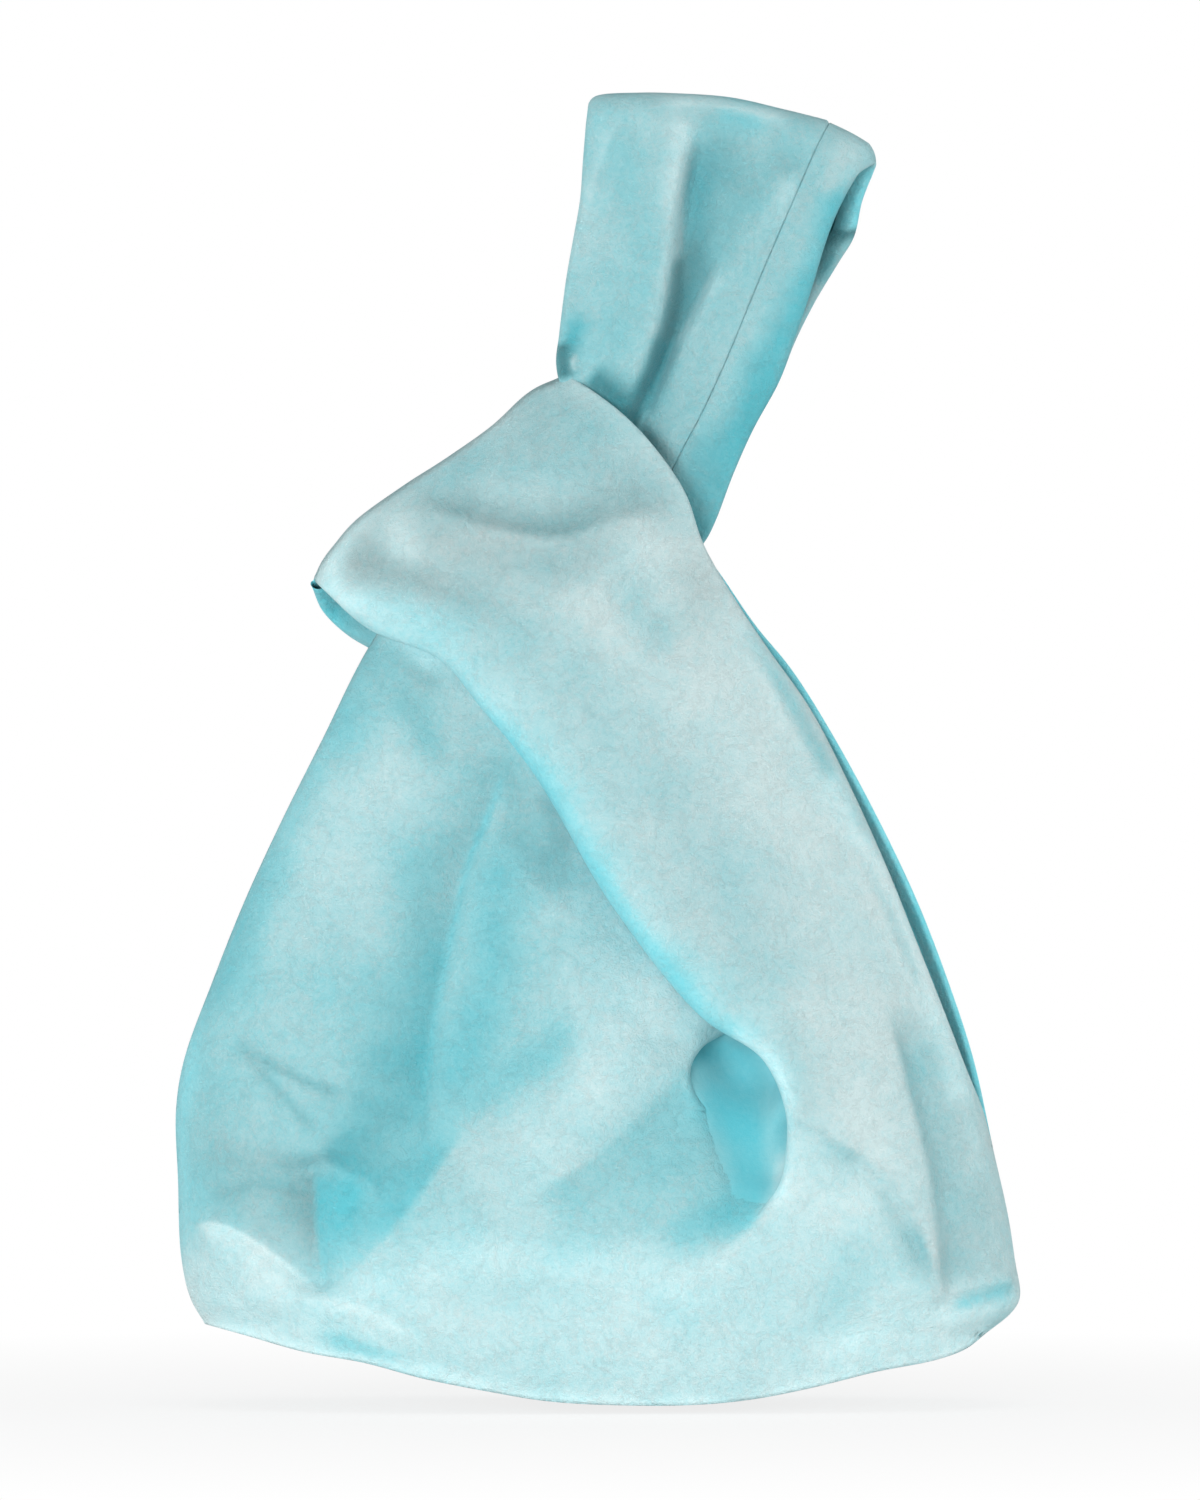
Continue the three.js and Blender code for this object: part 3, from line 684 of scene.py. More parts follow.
# each stroke's line, then its width or its two widths, then its tone and its brightness (nap and
# shade)
# Most strokes paint shade into creases, folds and hollows or paint highlights on ridges, edges and
# the bottom; the rest follow the pile's lie.
front_marks = [
    # the strap's foot: painted shadow under the rim and along its left side, with the pile's lie
    (foot_edge, 26, 0.3, 0.94),
    ([(384, 652), (405, 662), (432, 680)], 16, 0.4, 0.4),
    ([(464, 714), (478, 730)], 12, 0.5, 0.76),
    ([(522, 832), (550, 862)], 20, 0.46, 0.78),
    ([(545, 815), (558, 840)], 13, 0.5, 0.6),
    ([(405, 700), (425, 740)], 20, 0.7, 1.04),
    ([(350, 850), (385, 790), (420, 740)], 60, 0.78, 1.0),
    ([(372, 650), (400, 690), (435, 730)], 36, 0.46, 0.88),
    ([(452, 725), (476, 770)], 20, 0.66, 0.92),
    ([(506, 770), (530, 810), (545, 835)], 20, 0.5, 0.82),
    ([(250, 1190), (230, 1130), (220, 1090)], 50, 0.52, 0.92),
    ([(395, 1060), (380, 1100), (356, 1135)], 34, 0.24, 0.88),
    # both sides of the long crease: painted shade at its left and a painted highlight along its
    # edge
    ([(426, 1160), *long_crease[:3], (480, 830)], (46, 3), 0.16, 0.86),
    ([(442, 975), *long_crease[2:], (514, 730)], (42, 3), 0.56, 0.84),
    ([(427, 1130), (429, 1054), (441, 984), (469, 860), (489, 812), (510, 750)],
     (3, 5), 0.24, 1.08),
    # the pocket pressed in at the crease's foot: painted shade round it and painted reflected
    # light inside it
    ([(316, 1146), (345, 1168), (372, 1180), (392, 1208)], (34, 4), 0.12, 0.8),
    ([(322, 1296), (317, 1250), (314, 1210), (318, 1160)], (3, 34), 0.03, 1.04),
    ([(350, 1196), (342, 1225), (330, 1256)], 20, 0.02, 1.06),
    ([(322, 1304), (366, 1252), (405, 1206), (470, 1112)], (36, 6), 0.12, 0.98),
    ([(308, 1264), (318, 1284)], 8, 0.4, 0.55),
    ([(311, 1160), (313, 1210), (316, 1250), (324, 1316)], (3, 46), 0.6, 0.66),
    # the foot's left: painted shade in its folds and a painted highlight along its edge
    ([(224, 1190), (262, 1214), (300, 1262)], 15, 0.56, 0.84),
    ([(180, 1290), (180, 1200), (181, 1110), (196, 1020)], 13, 0.38, 1.14),
    ([(225, 1150), (290, 1168)], 22, 0.55, 0.82),
    # painted shade in the small creases
    (long_upper_crease, (7, 3), 0.5, 0.8),
    (forked_crease, (7, 3), 0.5, 0.82),
    (inner_crease, (6, 3), 0.2, 0.86),
    (lower_crease, (7, 3), 0.5, 0.8),
    # below the mouth: soft painted shade in the folds and painted light on the bulges, with the
    # pile's lie
    ([(500, 880), (488, 980), (456, 1080)], 28, 0.28, 0.98),
    ([(556, 872), (560, 880)], 16, 0.5, 0.82),
    ([(640, 1000), (600, 1080), (540, 1180)], 62, 0.8, 1.06),
    ([(560, 1040), (510, 1070), (450, 1110)], 17, 0.42, 0.99),
    ([(530, 1205), (600, 1160), (650, 1115), (700, 1060)], (7, 56), 0.54, 0.94),
    ([(665, 1170), (700, 1175), (690, 1130)], 36, 0.52, 0.96),
    # painted light beside the hollow and a painted highlight on the rim's lower ridge
    ([(712, 1100), (735, 1130), (750, 1165), (748, 1205)], 24, 0.08, 1.2),
    ([(690, 1235), (722, 1214), (746, 1192)], 22, 0.2, 0.98),
    ([(786, 1150), (764, 1218), (728, 1254), (670, 1280)], (14, 8), 0.86, 1.12),
    # the bottom: painted light, brightest along its lowest edge and below the lower left ridge
    ([(200, 1290), (260, 1300), (330, 1335)], 50, 0.84, 1.12),
    ([(340, 1295), (450, 1265), (560, 1270), (680, 1285)], 42, 0.78, 1.16),
    ([(190, 1232), (208, 1224), (228, 1228), (265, 1250), (300, 1276), (322, 1296)],
     (3, 24), 0.9, 1.2),
    ([(270, 1266), (318, 1297), (370, 1314), (430, 1350)], (6, 8), 0.92, 1.2),
    ([(310, 1330), (385, 1358), (460, 1392)], (9, 16), 0.5, 1.14),
    (bottom_line, 10, 0.88, 1.28),
    # the short strap: painted shade over the loop and in its folds, and painted highlights on its
    # edges
    ([(400, 470), (480, 450), (560, 440), (620, 480)], 60, 0.66, 0.82),
    ([(396, 498), *strap_valley, (690, 500)], (22, 5), 0.6, 0.6),
    ([(425, 530), (500, 552), (560, 558), (660, 528)], 30, 0.78, 0.76),
    ([(440, 462), (480, 449), (500, 441), (530, 426)], (3, 8), 0.66, 0.84),
    ([(650, 560), (690, 600)], 44, 0.95, 0.96),
    ([(630, 600), (668, 634)], 18, 0.76, 0.9),
    ([(530, 424), (550, 428)], 24, 0.72, 0.76),
    ([(340, 546), (393, 568), (440, 598), (495, 622)], 26, 0.8, 0.64),
    ([(398, 532), (410, 546)], 20, 0.9, 0.98),
    ([(318, 572), (345, 596), (390, 628), (436, 652)], 16, 0.72, 1.2),
    ([(324, 566), (336, 530), (372, 492), (430, 455)], 16, 0.86, 1.14),
    ([(430, 455), (480, 425), (540, 385)], 8, 0.86, 1.1),
    ([(500, 650), (600, 720), (700, 840), (745, 960)], 56, 0.74, 0.9),
    ([(700, 585), (722, 640)], 34, 0.88, 0.74),
    ([(740, 640), (800, 760), (860, 900), (915, 1030)], 56, 0.92, 0.95),
    # the turn of the strap's right edge: a painted shade line inside it and painted highlights on
    # it
    ([(726, 620), (790, 730), (850, 850), (900, 960), (940, 1050)], (4, 9), 0.95, 0.99),
    ([(736, 610), (806, 728), (868, 850), (914, 960), (950, 1050)], (8, 8), 0.6, 0.9),
    ([(830, 780), (884, 875), (928, 975), (966, 1080), (990, 1160), (1012, 1260)], 12, 0.9, 1.12),
    # the lower right corner: painted shade in its valley and beside its ridge, and painted light
    # below
    ([(948, 1310), (943, 1275), (939, 1220), (930, 1160), (910, 1080), (884, 990)],
     (4, 56), 0.66, 0.86),
    ([(776, 1110), (812, 1133), (881, 1175), (919, 1236), (938, 1296)], (4, 20), 0.5, 0.88),
    ([(850, 1100), (890, 1160), (915, 1210)], 20, 0.95, 1.0),
    ([(930, 990), (962, 1090)], 15, 0.85, 1.12),
    ([(870, 1250), (830, 1310)], 30, 0.68, 1.06),
    ([(810, 1150), (830, 1210), (860, 1190)], 34, 0.86, 1.12),
    ([(850, 1345), (930, 1320), (1005, 1308)], 26, 0.86, 1.22),
    ([(960, 1302), (1008, 1292)], 10, 0.5, 1.1),
]
rim_painted_highlight = [
    # painted highlight along the rim, brightest on its rolled edge
    ([(400, 640), *rim[9:4:-1], (740, 1046)], 42, 0.6, 1.14),
    ([(462, 684), *rim[8:4:-1], (745, 1045)], 12, 0.2, 1.24),
    ([(745, 1045), (765, 1062), (785, 1110), (786, 1150), (779, 1185)], 13, 0.78, 1.34),
]
# where the bottom's painted light starts, which makes its pile paler and brighter
bottom_start = [
    (180, 1225), (260, 1245), (330, 1290), (700, 1275), (757, 1215), (785, 1135), (850, 1150),
    (898, 1208), (940, 1286), (1020, 1295),
]
bottom_blend = (-20, 45)
# the short strap is paler, more so towards its right, and darker by painted shade that fades
# towards its right
strap_blend = 60
strap_tone = 0.16
strap_painted_shade = -0.07
paler_slant = -0.55
paler_level = 600
paler_columns = (480, 600)


def region_lie(plane, in_band):
    """The pile's lie over the whole piece, before the marks: bottom, foot and short strap, with
    painted light on the bottom and painted shade on the strap.
    """
    columns, rows = plane[..., 0], plane[..., 1]
    at_bottom = ramp(rows - np.interp(columns, *np.array(bottom_start).T), *bottom_blend)
    past_mouth = ramp(columns, rim[0][0], rim[0][0] + strap_blend)
    strap_share = np.maximum(in_band, past_mouth * (rows > armhole[0][1]))
    rightness = ramp(columns + (rows - paler_level) * paler_slant, *paler_columns)
    tone = plain_tone + (strap_tone + strap_tone * rightness) * strap_share
    nap_and_shade = foot_nap + (strap_painted_shade - strap_painted_shade * rightness) * strap_share
    tone = tone + (bottom_tone - tone) * at_bottom
    nap_and_shade = nap_and_shade + (bottom_painted_light - nap_and_shade) * at_bottom
    return tone, nap_and_shade


def tucked(plane, tuck):
    """How far cloth beside the mouth goes in, from the level of the mouth's corner upwards."""
    return folded(plane, tuck) * ramp(mouth_row - plane[..., 1], 0, tuck_rows)


belly_rows = 48
foot_columns = 156
band_columns = 84
foot_rows = 170
band_rows = 156


def even_line(points, steps, start_row=picture_height):
    """The part of a line above a row, as evenly spaced places."""
    line = smooth_line(points, edge_steps)
    line = line[line[:, 1] <= start_row + 1e-6]
    length = np.concatenate([[0], np.cumsum(np.linalg.norm(np.diff(line, axis=0), axis=1))])
    at = np.linspace(0, length[-1], steps + 1)
    return np.stack([np.interp(at, length, line[:, axis]) for axis in (0, 1)], axis=-1)


def belly_places(mouth, seam_top, rows, left_spacing, right_spacing):
    """Places of the pouch, from the bottom up to the line where both straps start."""
    rise = np.linspace(0, 1, rows + 1)[:, None]
    ends = []
    for edge, yoke in [(left_line, mouth[1]), (right_line, seam_top[1])]:
        heights = edge[0, 1] + (yoke - edge[0, 1]) * rise
        ends.append(column_at(edge, heights))
    left_part = ends[0] + (mouth[0] - ends[0]) * left_spacing
    right_part = mouth[0] + (ends[1] - mouth[0]) * right_spacing[1:]
    columns = np.concatenate([left_part, right_part], axis=1)
    low = np.interp(columns, foot_line[:, 0], foot_line[:, 1])
    over = np.clip((columns - mouth[0]) / (seam_top[0] - mouth[0]), 0, 1)
    yoke_row = mouth[1] + (seam_top[1] - mouth[1]) * over
    return np.stack([columns, low + (yoke_row - low) * rise], axis=-1)


def foot_places(neckline, rows, spacing):
    """Places of the long strap's foot, at the left of the mouth, with its two hems."""
    rows_up = np.linspace(0, 1, rows + 1)
    edges = [even_line(points, rows, mouth_row) for points in (left_side, neckline)]
    left_radius = np.maximum(smallest_turn, edge_turn_share * edge_gap(edges[0][:, 1]))
    neck_radius = smallest_turn + neckline_turn * ramp(rows_up, 0, turn_start)
    return hemmed(*edges, left_radius, neck_radius, spacing)


def denser_at_end(steps):
    """Shares across a piece of cloth, closer together towards its outer side."""
    return np.sin(np.linspace(0, 1, steps + 1) * math.pi / 2)


def pouch_cloth(name, rim, neckline, armhole, section_right, folds, marks, facing, finish, seed):
    """Pouch half, strap foot and short strap half as one piece of cloth."""
    left_spacing = 1 - denser_at_end(foot_columns)[::-1]
    right_spacing = denser_at_end(band_columns)
    belly = belly_places(rim[0], armhole[0], belly_rows, left_spacing, right_spacing)
    belly_depth = pouch_depth(belly, section_right)
    foot, foot_drop, hem_columns = foot_places(neckline, foot_rows, left_spacing)
    foot_face = foot_depth(foot)

    # the short strap's half, at the right of the mouth
    rows_up = np.linspace(0, 1, band_rows + 1)
    edges = []
    for points in [rim, armhole]:
        rows = points[0][1] + (points[-1][1] - points[0][1]) * rows_up
        edges.append(np.stack([column_at(smooth_line(points), rows), rows], axis=-1))
    rim_radius = np.interp(rows_up, *np.array(rim_radii).T)
    arm_radius = smallest_turn + armhole_turn * ramp(rows_up, 0, turn_start)
    band, band_drop, hem_columns = hemmed(*edges, rim_radius, arm_radius, right_spacing)
    across = np.concatenate([np.zeros(hem_columns), right_spacing, np.ones(hem_columns)])[None, :]
    fold_way = np.array([rim[-1][1] - armhole[-1][1], armhole[-1][0] - rim[-1][0]], float)
    fold_way /= -np.linalg.norm(fold_way)
    bulge = np.interp(across, *smooth_line(loop_bulge).T) * rows_up[:, None] ** bulge_power
    band = band + bulge[..., None] * fold_way
    turn_over = np.clip((rows_up - 1 + loop_fold_share) / loop_fold_share, 0, 1)[:, None]
    band = band - (turn_over * band_drop * millimetre / pixel)[..., None] * fold_way
    edge_drop = 1 - loop_edge_drop * (2 * across - 1) ** 2
    loop_depth = seam_half_gap + loop_half_depth * edge_drop
    to_loop = ramp(rows_up, *loop_blend)[:, None]
    band_face = np.maximum(pouch_depth(band, section_right), 2 * arm_radius[:, None] - hem_overlap)
    band_face = band_face * (1 - to_loop) + loop_depth * to_loop
    over_end = np.sqrt(1 - turn_over ** 2)

    pieces = []
    for plane, face, drop, hems, in_band in [
        (belly, belly_depth, np.zeros(belly_depth.shape), 0, False),
        (foot, foot_face + tucked(foot, foot_tuck), foot_drop, hem_columns, False),
        (band, band_face, band_drop, hem_columns, True),
    ]:
        raised = folded(plane, folds) + rippled(plane, cloth_ripples, seed)
        depth = face + raised * ramp(face, *fold_onset) - drop
        if in_band:
            depth = depth * over_end
        depth = np.maximum(depth, furthest_in)
        # the pile's lie with painted light and shade over the piece, then the marks' painted shade
        # and highlights
        tone, nap_and_shade = region_lie(plane, in_band)
        strokes = marks + rim_painted_highlight if in_band else marks
        tone, nap_and_shade = marked(plane, strokes, tone, nap_and_shade, seed + 9)
        flat = np.ones(depth.shape)
        flat[:, :hems] = 0
        flat[:, depth.shape[1] - hems:] = 0
        pieces.append((in_space(plane, depth, facing), tone, nap_and_shade, flat))

    belly_ids = np.arange(belly_depth.size).reshape(belly_depth.shape)
    foot_ids = belly_depth.size + np.arange(foot_drop.size).reshape(foot_drop.shape)
    band_ids = foot_ids.max() + 1 + np.arange(band_drop.size).reshape(band_drop.shape)
    foot_ids[0, hem_columns:hem_columns + foot_columns + 1] = belly_ids[-1, :foot_columns + 1]
    band_ids[0, hem_columns:hem_columns + band_columns + 1] = belly_ids[-1, foot_columns:]
    faces = np.concatenate([grid_faces(ids) for ids in (belly_ids, foot_ids, band_ids)])
    points = np.concatenate([piece[0].reshape(-1, 3) for piece in pieces])
    tone, nap_and_shade, flat = [
        np.concatenate([piece[part].ravel() for piece in pieces]) for part in (1, 2, 3)]
    used, faces = numbered(faces, facing)
    return cloth_object(
        name, points[used], faces, tone[used], nap_and_shade[used], finish, velvet_thickness, flat[used])


pouch_velvet = velvet("pouch_velvet")
front_cloth = pouch_cloth(
    "front_cloth", rim, neckline, armhole, right_line, front_folds, front_marks, 1,
    pouch_velvet, front_seed)
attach(front_cloth, "pouch")
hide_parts("front_panel", "short_strap_front")


# Back of the bag. Cut like the front from the same velvet, and sewn to it down both sides and
# over the end of the short strap. Its strap edge lies a little outside the front's.
back_rim = [
    *rim[:8], (480, 722), (424, 676), (372, 650), (342, 631), (316, 604), (308, 582),
]
back_armhole = right_side[5:] + armhole[11:]
back_section_right = smooth_line(right_side[:6] + armhole[2:9] + right_side[-1:])
back_strap_fold = [(430, 520), (520, 545), (620, 525)]
back_folds = [
    ([(700, 1235), (640, 1290), (520, 1330), (360, 1345)], (-2.5, 50), (2.0, 45), 12),
    ([(430, 1180), (455, 1050), (490, 900), (520, 780)], (-3.0, 50), (1.5, 45), 7),
    ([(260, 1160), (300, 1020), (350, 900)], (1.5, 40), 20),
    ([(600, 1190), (650, 1080), (660, 980)], (-1.6, 30), 20),
    ([(860, 1000), (900, 1120), (925, 1250)], (1.2, 40), (-2.2, 36), 9),
    (back_strap_fold, (-1.4, 28), (1.4, 24), 8),
    ([(640, 640), (720, 780), (790, 960)], (1.4, 55), 30),
]
back_marks = [
    # painted light on the back strap's edge beside the armhole, which lies in the front's shade,
    # and at the loop's tip; soft painted shade along the back's folds
    (back_armhole[:9], 46, 0.16, 1.5),
    ([(310, 585), (330, 615), (362, 640)], 30, 0.06, 1.15),
    (foot_edge, 30, 0.32, 0.93),
    ([(500, 780), (470, 900), (440, 1040), (420, 1150)], 44, 0.2, 0.95),
    ([(330, 900), (300, 1000), (290, 1100)], 62, 0.78, 1.0),
    ([(640, 1000), (600, 1080)], 60, 0.76, 1.02),
    (back_strap_fold, 18, 0.62, 0.94),
    ([(880, 1060), (915, 1200), (930, 1270)], 30, 0.62, 0.92),
    ([(620, 700), (720, 860)], 70, 0.9, 1.0),
]
back_cloth = pouch_cloth(
    "back_cloth", back_rim, neckline, back_armhole, back_section_right, back_folds, back_marks, -1,
    pouch_velvet, back_seed)
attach(back_cloth, "pouch")
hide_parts("back_panel", "short_strap_back")


# Bottom. An oval of the same velvet, sewn in between the front and the back. It hangs a little
# at its middle, where the bag rests.
bottom_steps = 40
under_paleness = 0.8
under_ripples = [(0.08, 160)]
under_seed = 12
edge_count = foot_columns + band_columns + 1


def bottom_edge_of(cloth):
    """The lowest row of a pouch half, which comes first in its mesh."""
    return np.array([vertex.co for vertex in cloth.data.vertices[:edge_count]])


front_edge = bottom_edge_of(front_cloth)
back_edge = bottom_edge_of(back_cloth)
over = np.linspace(0, 1, bottom_steps + 1)[:, None, None]
bottom = front_edge[None] * (1 - over) + back_edge[None] * over
resting_row = np.interp(middle_column + bottom[..., 0] / pixel, foot_line[:, 0], foot_line[:, 1])
nearer = 1 + np.minimum(bottom[..., 1], 0) / camera_distance
resting = eye_height + (picture_height / 2 - resting_row) * pixel * nearer
hang = 1 - (2 * over[..., 0] - 1) ** 4
bottom[..., 2] = np.maximum(bottom[..., 2] * (1 - hang) + resting * hang, 0)
bottom_ids = np.arange(bottom[..., 0].size).reshape(bottom.shape[:2])
flat_plane = bottom[..., :2] / pixel
bottom_velvet = velvet("bottom_velvet")
under_tone = under_paleness + rippled(flat_plane, under_ripples, under_seed)
bottom_cloth = cloth_object(
    "bottom_cloth", bottom.reshape(-1, 3), grid_faces(bottom_ids)[:, ::-1],
    under_tone.ravel(), np.ones(bottom_ids.size), bottom_velvet, velvet_thickness,
    np.ones(bottom_ids.size))
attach(bottom_cloth, "pouch")
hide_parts("base_panel")


# Lining. The same velvet inside both halves of the pouch and up the long strap's foot. Beside
# the mouth it runs on from the rolled rim, behind the strap's foot, as the hollow that shows.
lining_depth = 2.6
lining_thickness = 0.8
lining_rows = 22
lining_foot_rows = 60
lining_columns = 54
lining_tone = 0.12
least_depth = 0.1
hollow_rows = 60
hollow_columns = 36
hollow_reach = 48
hollow_overlap = 14
hollow_top = 968
hollow_under = 0.6
hollow_marks = [
    # painted shade at the hollow's top, painted light lower in it and on the rim inside
    ([(700, 1050), (735, 1058), (765, 1080)], 22, 0.1, 0.94),
    ([(736, 1085), (750, 1125), (753, 1172)], 21, 0.07, 1.14),
    ([(766, 1062), (782, 1100), (786, 1145)], 12, 0.34, 1.08),
]
lining_velvet = velvet("lining_velvet", relief=0.15, speckle=0.25)
for lining_name, facing, folds, marks, mark_seed, cad_name in [
    ("front_lining", 1, front_folds, front_marks, front_seed, "lining_front"),
    ("back_lining", -1, back_folds, back_marks, back_seed, "lining_back"),
]:
    left_spacing = 1 - denser_at_end(lining_columns)[::-1]
    right_spacing = denser_at_end(lining_columns // 2)
    belly = belly_places(rim[0], armhole[0], lining_rows, left_spacing, right_spacing)
    foot, foot_drop, hem_columns = foot_places(neckline, lining_foot_rows, left_spacing)
    foot = foot[:, hem_columns:hem_columns + lining_columns + 1]
    rows = np.linspace(mouth_row, hollow_top, hollow_rows + 1)
    right_end = column_at(smooth_line(rim), rows) + hollow_overlap
    left_end = column_at(smooth_line(mouth_corner), rows) - hollow_reach
    spread = np.linspace(0, 1, hollow_columns + 1)
    hollow_column = left_end[:, None] + (right_end - left_end)[:, None] * spread
    hollow_row = np.broadcast_to(rows[:, None], hollow_column.shape)
    hollow = np.stack([hollow_column, hollow_row], axis=-1)
    belly_depth = pouch_depth(belly) - lining_depth
    foot_back = foot_depth(foot) + tucked(foot, foot_tuck) - lining_depth
    hollow_depth = foot_depth(hollow) + tucked(hollow, hollow_tuck) - hollow_under
    places = []
    grids = []
    first = 0
    for plane, depth in [(belly, belly_depth), (foot, foot_back), (hollow, hollow_depth)]:
        depth = np.maximum(depth + folded(plane, folds), least_depth)
        places.append(in_space(plane, depth, facing).reshape(-1, 3))
        grids.append(first + np.arange(depth.size).reshape(depth.shape))
        first += depth.size
    grids[1][0] = grids[0][-1, :lining_columns + 1]
    points = np.concatenate(places)
    used, faces = numbered(np.concatenate([grid_faces(ids) for ids in grids]), facing)
    tone = np.full(len(points), lining_tone)
    nap_and_shade = np.ones(len(points))
    # beside the mouth: the marks' painted shade and light, and the hollow's own
    beside_mouth = marked(hollow, marks + hollow_marks, *region_lie(hollow, False), mark_seed + 9)
    tone[grids[2].ravel()], nap_and_shade[grids[2].ravel()] = [values.ravel() for values in beside_mouth]
    lining = cloth_object(
        lining_name, points[used], faces, tone[used], nap_and_shade[used], lining_velvet,
        lining_thickness, np.ones(len(used)))
    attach(lining, "pouch")
    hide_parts(cad_name)


# Long strap above the loop, which is the handle. One length of velvet with a deep lengthwise
# pleat, folded over at the top. Its lower end runs down through the loop to the strap's foot.
handle_rows = 130
handle_columns = 84
border_columns = 18
handle_top_share = 0.05
handle_edge_share = 0.7
handle_least_depth = 0.6
handle_hem = 14
handle_left_radius = 2.0
handle_seam_radius = 0.7
handle_right_radius = 2.4
folds_from = 0.2
folds_until = 0.9
handle_seed = 60
handle_ripples = [(0.2, 50), (0.1, 18)]
handle_nap = 0.92
handle_left = [
    (474, 542), (515, 479), (545, 440), (566, 408), (560, 386), (556, 362), (559, 335), (566, 280),
    (573, 240), (580, 200), (583, 160), (588, 101),
]
handle_seam = [
    (594, 651), (623, 589), (650, 530), (664, 488), (678, 458), (701, 415), (727, 359), (760, 280),
    (783, 228), (816, 157), (829, 133),
]
handle_right = [
    (604, 675), (645, 612), (690, 559), (706, 540), (716, 520), (733, 475), (753, 430), (780, 380),
    (794, 340), (803, 315), (812, 288), (827, 239), (839, 209), (857, 176), (876, 151),
]
handle_back_right = [
    *handle_right[:8], (796, 340), (816, 300), (840, 260), (855, 235), (863, 200), (872, 175),
    (878, 151),
]
handle_arch = [
    (0, 2), (0.06, 9), (0.16, 14), (0.27, 18), (0.48, 22), (0.68, 17), (0.89, 9), (1, 0),
]
handle_depths = [(0, 3.5), (0.14, 4.2), (0.36, 5), (0.5, 9.5), (0.7, 12), (1, 12)]
handle_folds = [
    # the deep pleat: a ridge at its left and a sharp edge at the right of its lower half
    ([(598, 500), (622, 447), (640, 403), (656, 355), (667, 315), (674, 270), (680, 215),
      (689, 165), (698, 122)], (3.0, 44), (-8.0, 34), 8),
    ([(628, 448), (650, 405), (674, 352), (697, 305), (720, 258)], (-3.5, 20), (2.2, 34), 4),
    # where the strap is pinched at the loop
    ([(566, 352), (572, 345), (580, 340)], (-1.5, 9), 0),
    ([(592, 365), (603, 300), (612, 220)], (-0.8, 26), 20),
    ([(740, 420), (780, 330), (815, 240)], (1.0, 20), (1.0, 16), 12),
]
handle_back_folds = [
    ([(620, 500), (650, 420), (690, 320), (720, 220), (735, 150)], (1.8, 40), (-3.5, 34), 8),
    ([(700, 420), (740, 320), (780, 210)], (1.2, 26), 20),
]
handle_marks = [
    # painted shade at the top of the pleat's valley
    ([(720, 150), (750, 190), (745, 250), (780, 170)], 34, 0.45, 0.78),
    # painted shade in the pleat's valley, from the loop up, and a painted highlight on the ridge
    # at its left
    ([(560, 590), (606, 486), (646, 386), (658, 342), (670, 298), (676, 255), (682, 211),
      (694, 160), (702, 120)], (4, 36), 0.03, 0.72),
    ([(560, 590), (606, 486), (646, 386), (658, 342), (668, 305), (678, 250), (690, 205)],
     (3, 26), 0.38, 0.4),
    ([(628, 450), (650, 405), (674, 352), (697, 305), (724, 250)], (3, 44), 0.66, 1.02),
    ([(618, 440), (640, 386), (651, 342), (663, 290), (668, 240), (676, 180), (688, 110)],
     (12, 9), 0.8, 0.97),
    # the strap's flat parts: soft painted shade beside the seam and a painted highlight along the
    # top fold
    ([(636, 150), (630, 260), (615, 340)], 30, 0.5, 0.88),
    ([(668, 440), (700, 370), (740, 290), (790, 190)], 16, 0.76, 0.99),
    ([(700, 520), (742, 440), (785, 345), (818, 262), (840, 205)], 20, 0.06, 0.94),
    ([(712, 480), (765, 380)], 26, 0.04, 0.9),
    ([(690, 470), (705, 520)], 30, 0.12, 0.84),
    ([(845, 150), (832, 185)], 14, 0.8, 0.9),
    ([(730, 110), (752, 118)], 15, 0.16, 1.02),
    ([(650, 101), (720, 104), (800, 124)], (7, 7), 0.75, 1.1),
    # painted shadow where the strap is pinched at the loop, under the loop's edge
    ([(580, 325), (572, 345)], 13, 0.05, 0.86),
    ([(560, 340), (566, 382)], (10, 12), 0.2, 0.42),
    ([(586, 372), (612, 393), (642, 428)], (16, 16), 0.1, 0.5),
    ([(628, 410), (650, 372), (664, 330)], (8, 22), 0.1, 0.6),
    ([(577, 372), (573, 364), (577, 352)], (3, 3), 0.75, 0.85),
    # the strap's creases: pale lines and soft painted shade
    ([(616, 120), (596, 170), (580, 240)], (3, 10), 0.7, 0.95),
    ([(560, 110), (560, 200), (548, 300)], 22, 0.5, 0.88),
    ([(678, 125), (678, 190), (670, 250)], 8, 0.8, 1.0),
    ([(660, 470), (690, 400), (735, 300), (760, 240)], 26, 0.6, 0.88),
    ([(786, 240), (830, 140)], 14, 0.6, 0.88),
]
handle_back_marks = [
    # painted shade in the slit and the fold at the back's right edge, painted light beside them
    ([(868, 160), (841, 215), (813, 290)], (12, 16), 0.08, 0.6),
    ([(868, 176), (857, 222)], 12, 0.16, 1.3),
    ([(822, 242), (846, 233), (868, 226)], (3, 7), 0.2, 0.4),
    ([(660, 420), (700, 320), (730, 220)], 26, 0.15, 0.9),
]


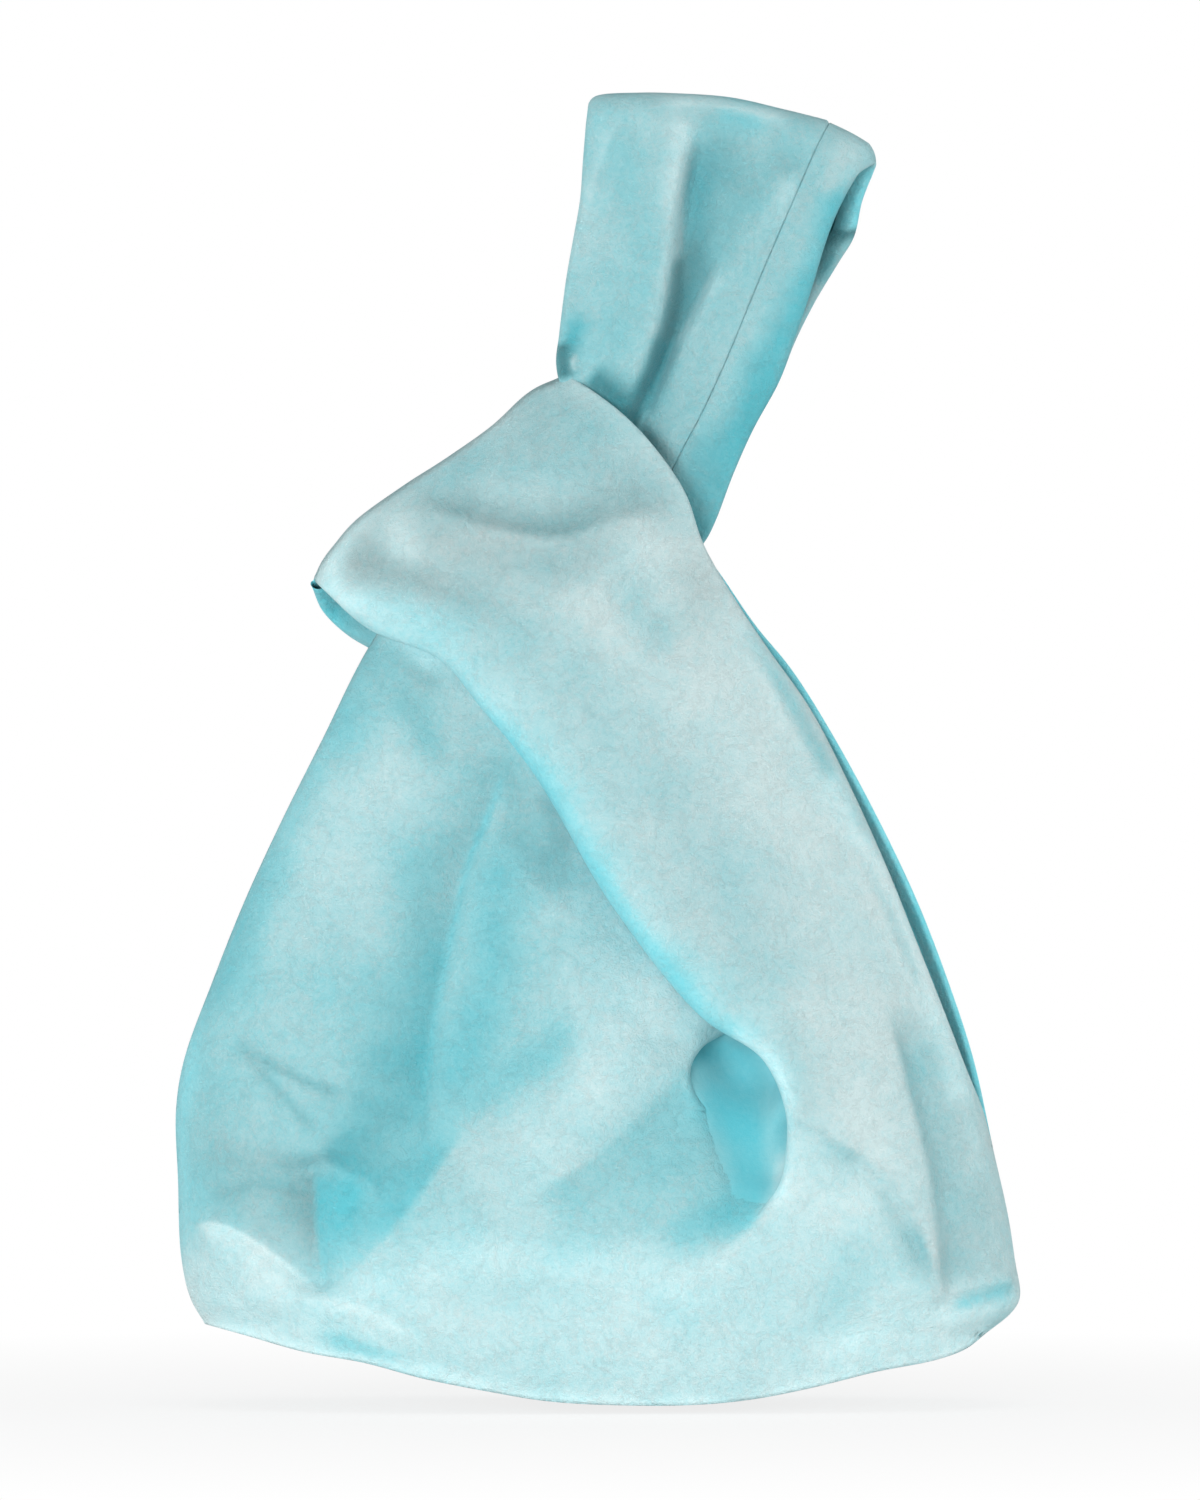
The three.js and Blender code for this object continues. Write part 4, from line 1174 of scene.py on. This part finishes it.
def handle_layers(name, edges, radii, columns, finish, seed):
    """Front and back layer of a lengthwise strip of the handle, as one piece over its top."""
    rows_up = np.linspace(0, 1, handle_rows + 1)
    spacing = (1 - np.cos(np.linspace(0, 1, columns + 1) * math.pi)) / 2
    middle_depth = np.interp(rows_up, *np.array(handle_depths).T)
    room = (middle_depth * handle_edge_share - handle_least_depth) / 2
    left_radius, right_radius = [np.minimum(radius, room) for radius in radii]
    first = even_line(handle_left, handle_rows)[:, None, 0]
    last = even_line(handle_right, handle_rows)[:, None, 0]
    turn_over = np.clip((rows_up - 1 + handle_top_share) / handle_top_share, 0, 1)[:, None]
    settled = ramp(rows_up, 0, folds_from)[:, None] * ramp(rows_up, 1, folds_until)[:, None]
    layers = []
    for facing, (left, right), folds, marks in edges:
        plane, drop, hem_columns = hemmed(
            even_line(left, handle_rows), even_line(right, handle_rows), left_radius, right_radius,
            spacing, hem=handle_hem)
        shares = np.clip((plane[..., 0] - first) / (last - first), 0, 1)
        arch = np.interp(shares, *smooth_line(handle_arch).T)
        plane[..., 1] -= arch * rows_up[:, None] ** bulge_power
        narrowing = (1 - handle_edge_share) * np.abs(2 * shares - 1) ** 3
        raised = folded(plane, folds) + rippled(plane, handle_ripples, seed)
        plane[..., 1] += drop * turn_over * millimetre / pixel
        depth = middle_depth[:, None] * (1 - narrowing) + raised * settled - drop
        depth = np.maximum(depth, handle_least_depth) * np.sqrt(1 - turn_over ** 2)
        # the marks paint shade and highlights over the pile's lie
        tone, nap_and_shade = marked(plane, marks, plain_tone, handle_nap, seed + 9)
        layers.append((in_space(plane, depth, facing), tone, nap_and_shade))
    points, tone, nap_and_shade = [
        np.concatenate([front, back[-2::-1]]) for front, back in zip(*layers)]
    flat = np.ones(tone.shape)
    flat[:, :hem_columns] = 0
    flat[:, -hem_columns:] = 0
    ids = np.arange(tone.size).reshape(tone.shape)
    return cloth_object(
        name, points.reshape(-1, 3), grid_faces(ids), tone.ravel(), nap_and_shade.ravel(), finish,
        velvet_thickness, flat.ravel())


handle_velvet = velvet("handle_velvet")
handle_cloth = handle_layers(
    "handle_cloth",
    [(1, (handle_left, handle_seam), handle_folds, handle_marks),
     (-1, (handle_left, handle_seam), handle_back_folds, handle_back_marks)],
    (handle_left_radius, handle_seam_radius), handle_columns, handle_velvet, handle_seed)
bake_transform(handle_cloth)
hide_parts("handle_neck_front", "handle_neck_back", "handle_front", "handle_back")


# Border of the handle. A strip of the same velvet, joined along the handle's right edge by a
# plain seam that lies open, with its outer edge turned in.
handle_border = handle_layers(
    "handle_border",
    [(1, (handle_seam, handle_right), handle_folds, handle_marks),
     (-1, (handle_seam, handle_back_right), handle_back_folds, handle_back_marks)],
    (handle_seam_radius, handle_right_radius), border_columns, handle_velvet, handle_seed)
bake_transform(handle_border)
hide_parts("handle_border_front", "handle_border_back")
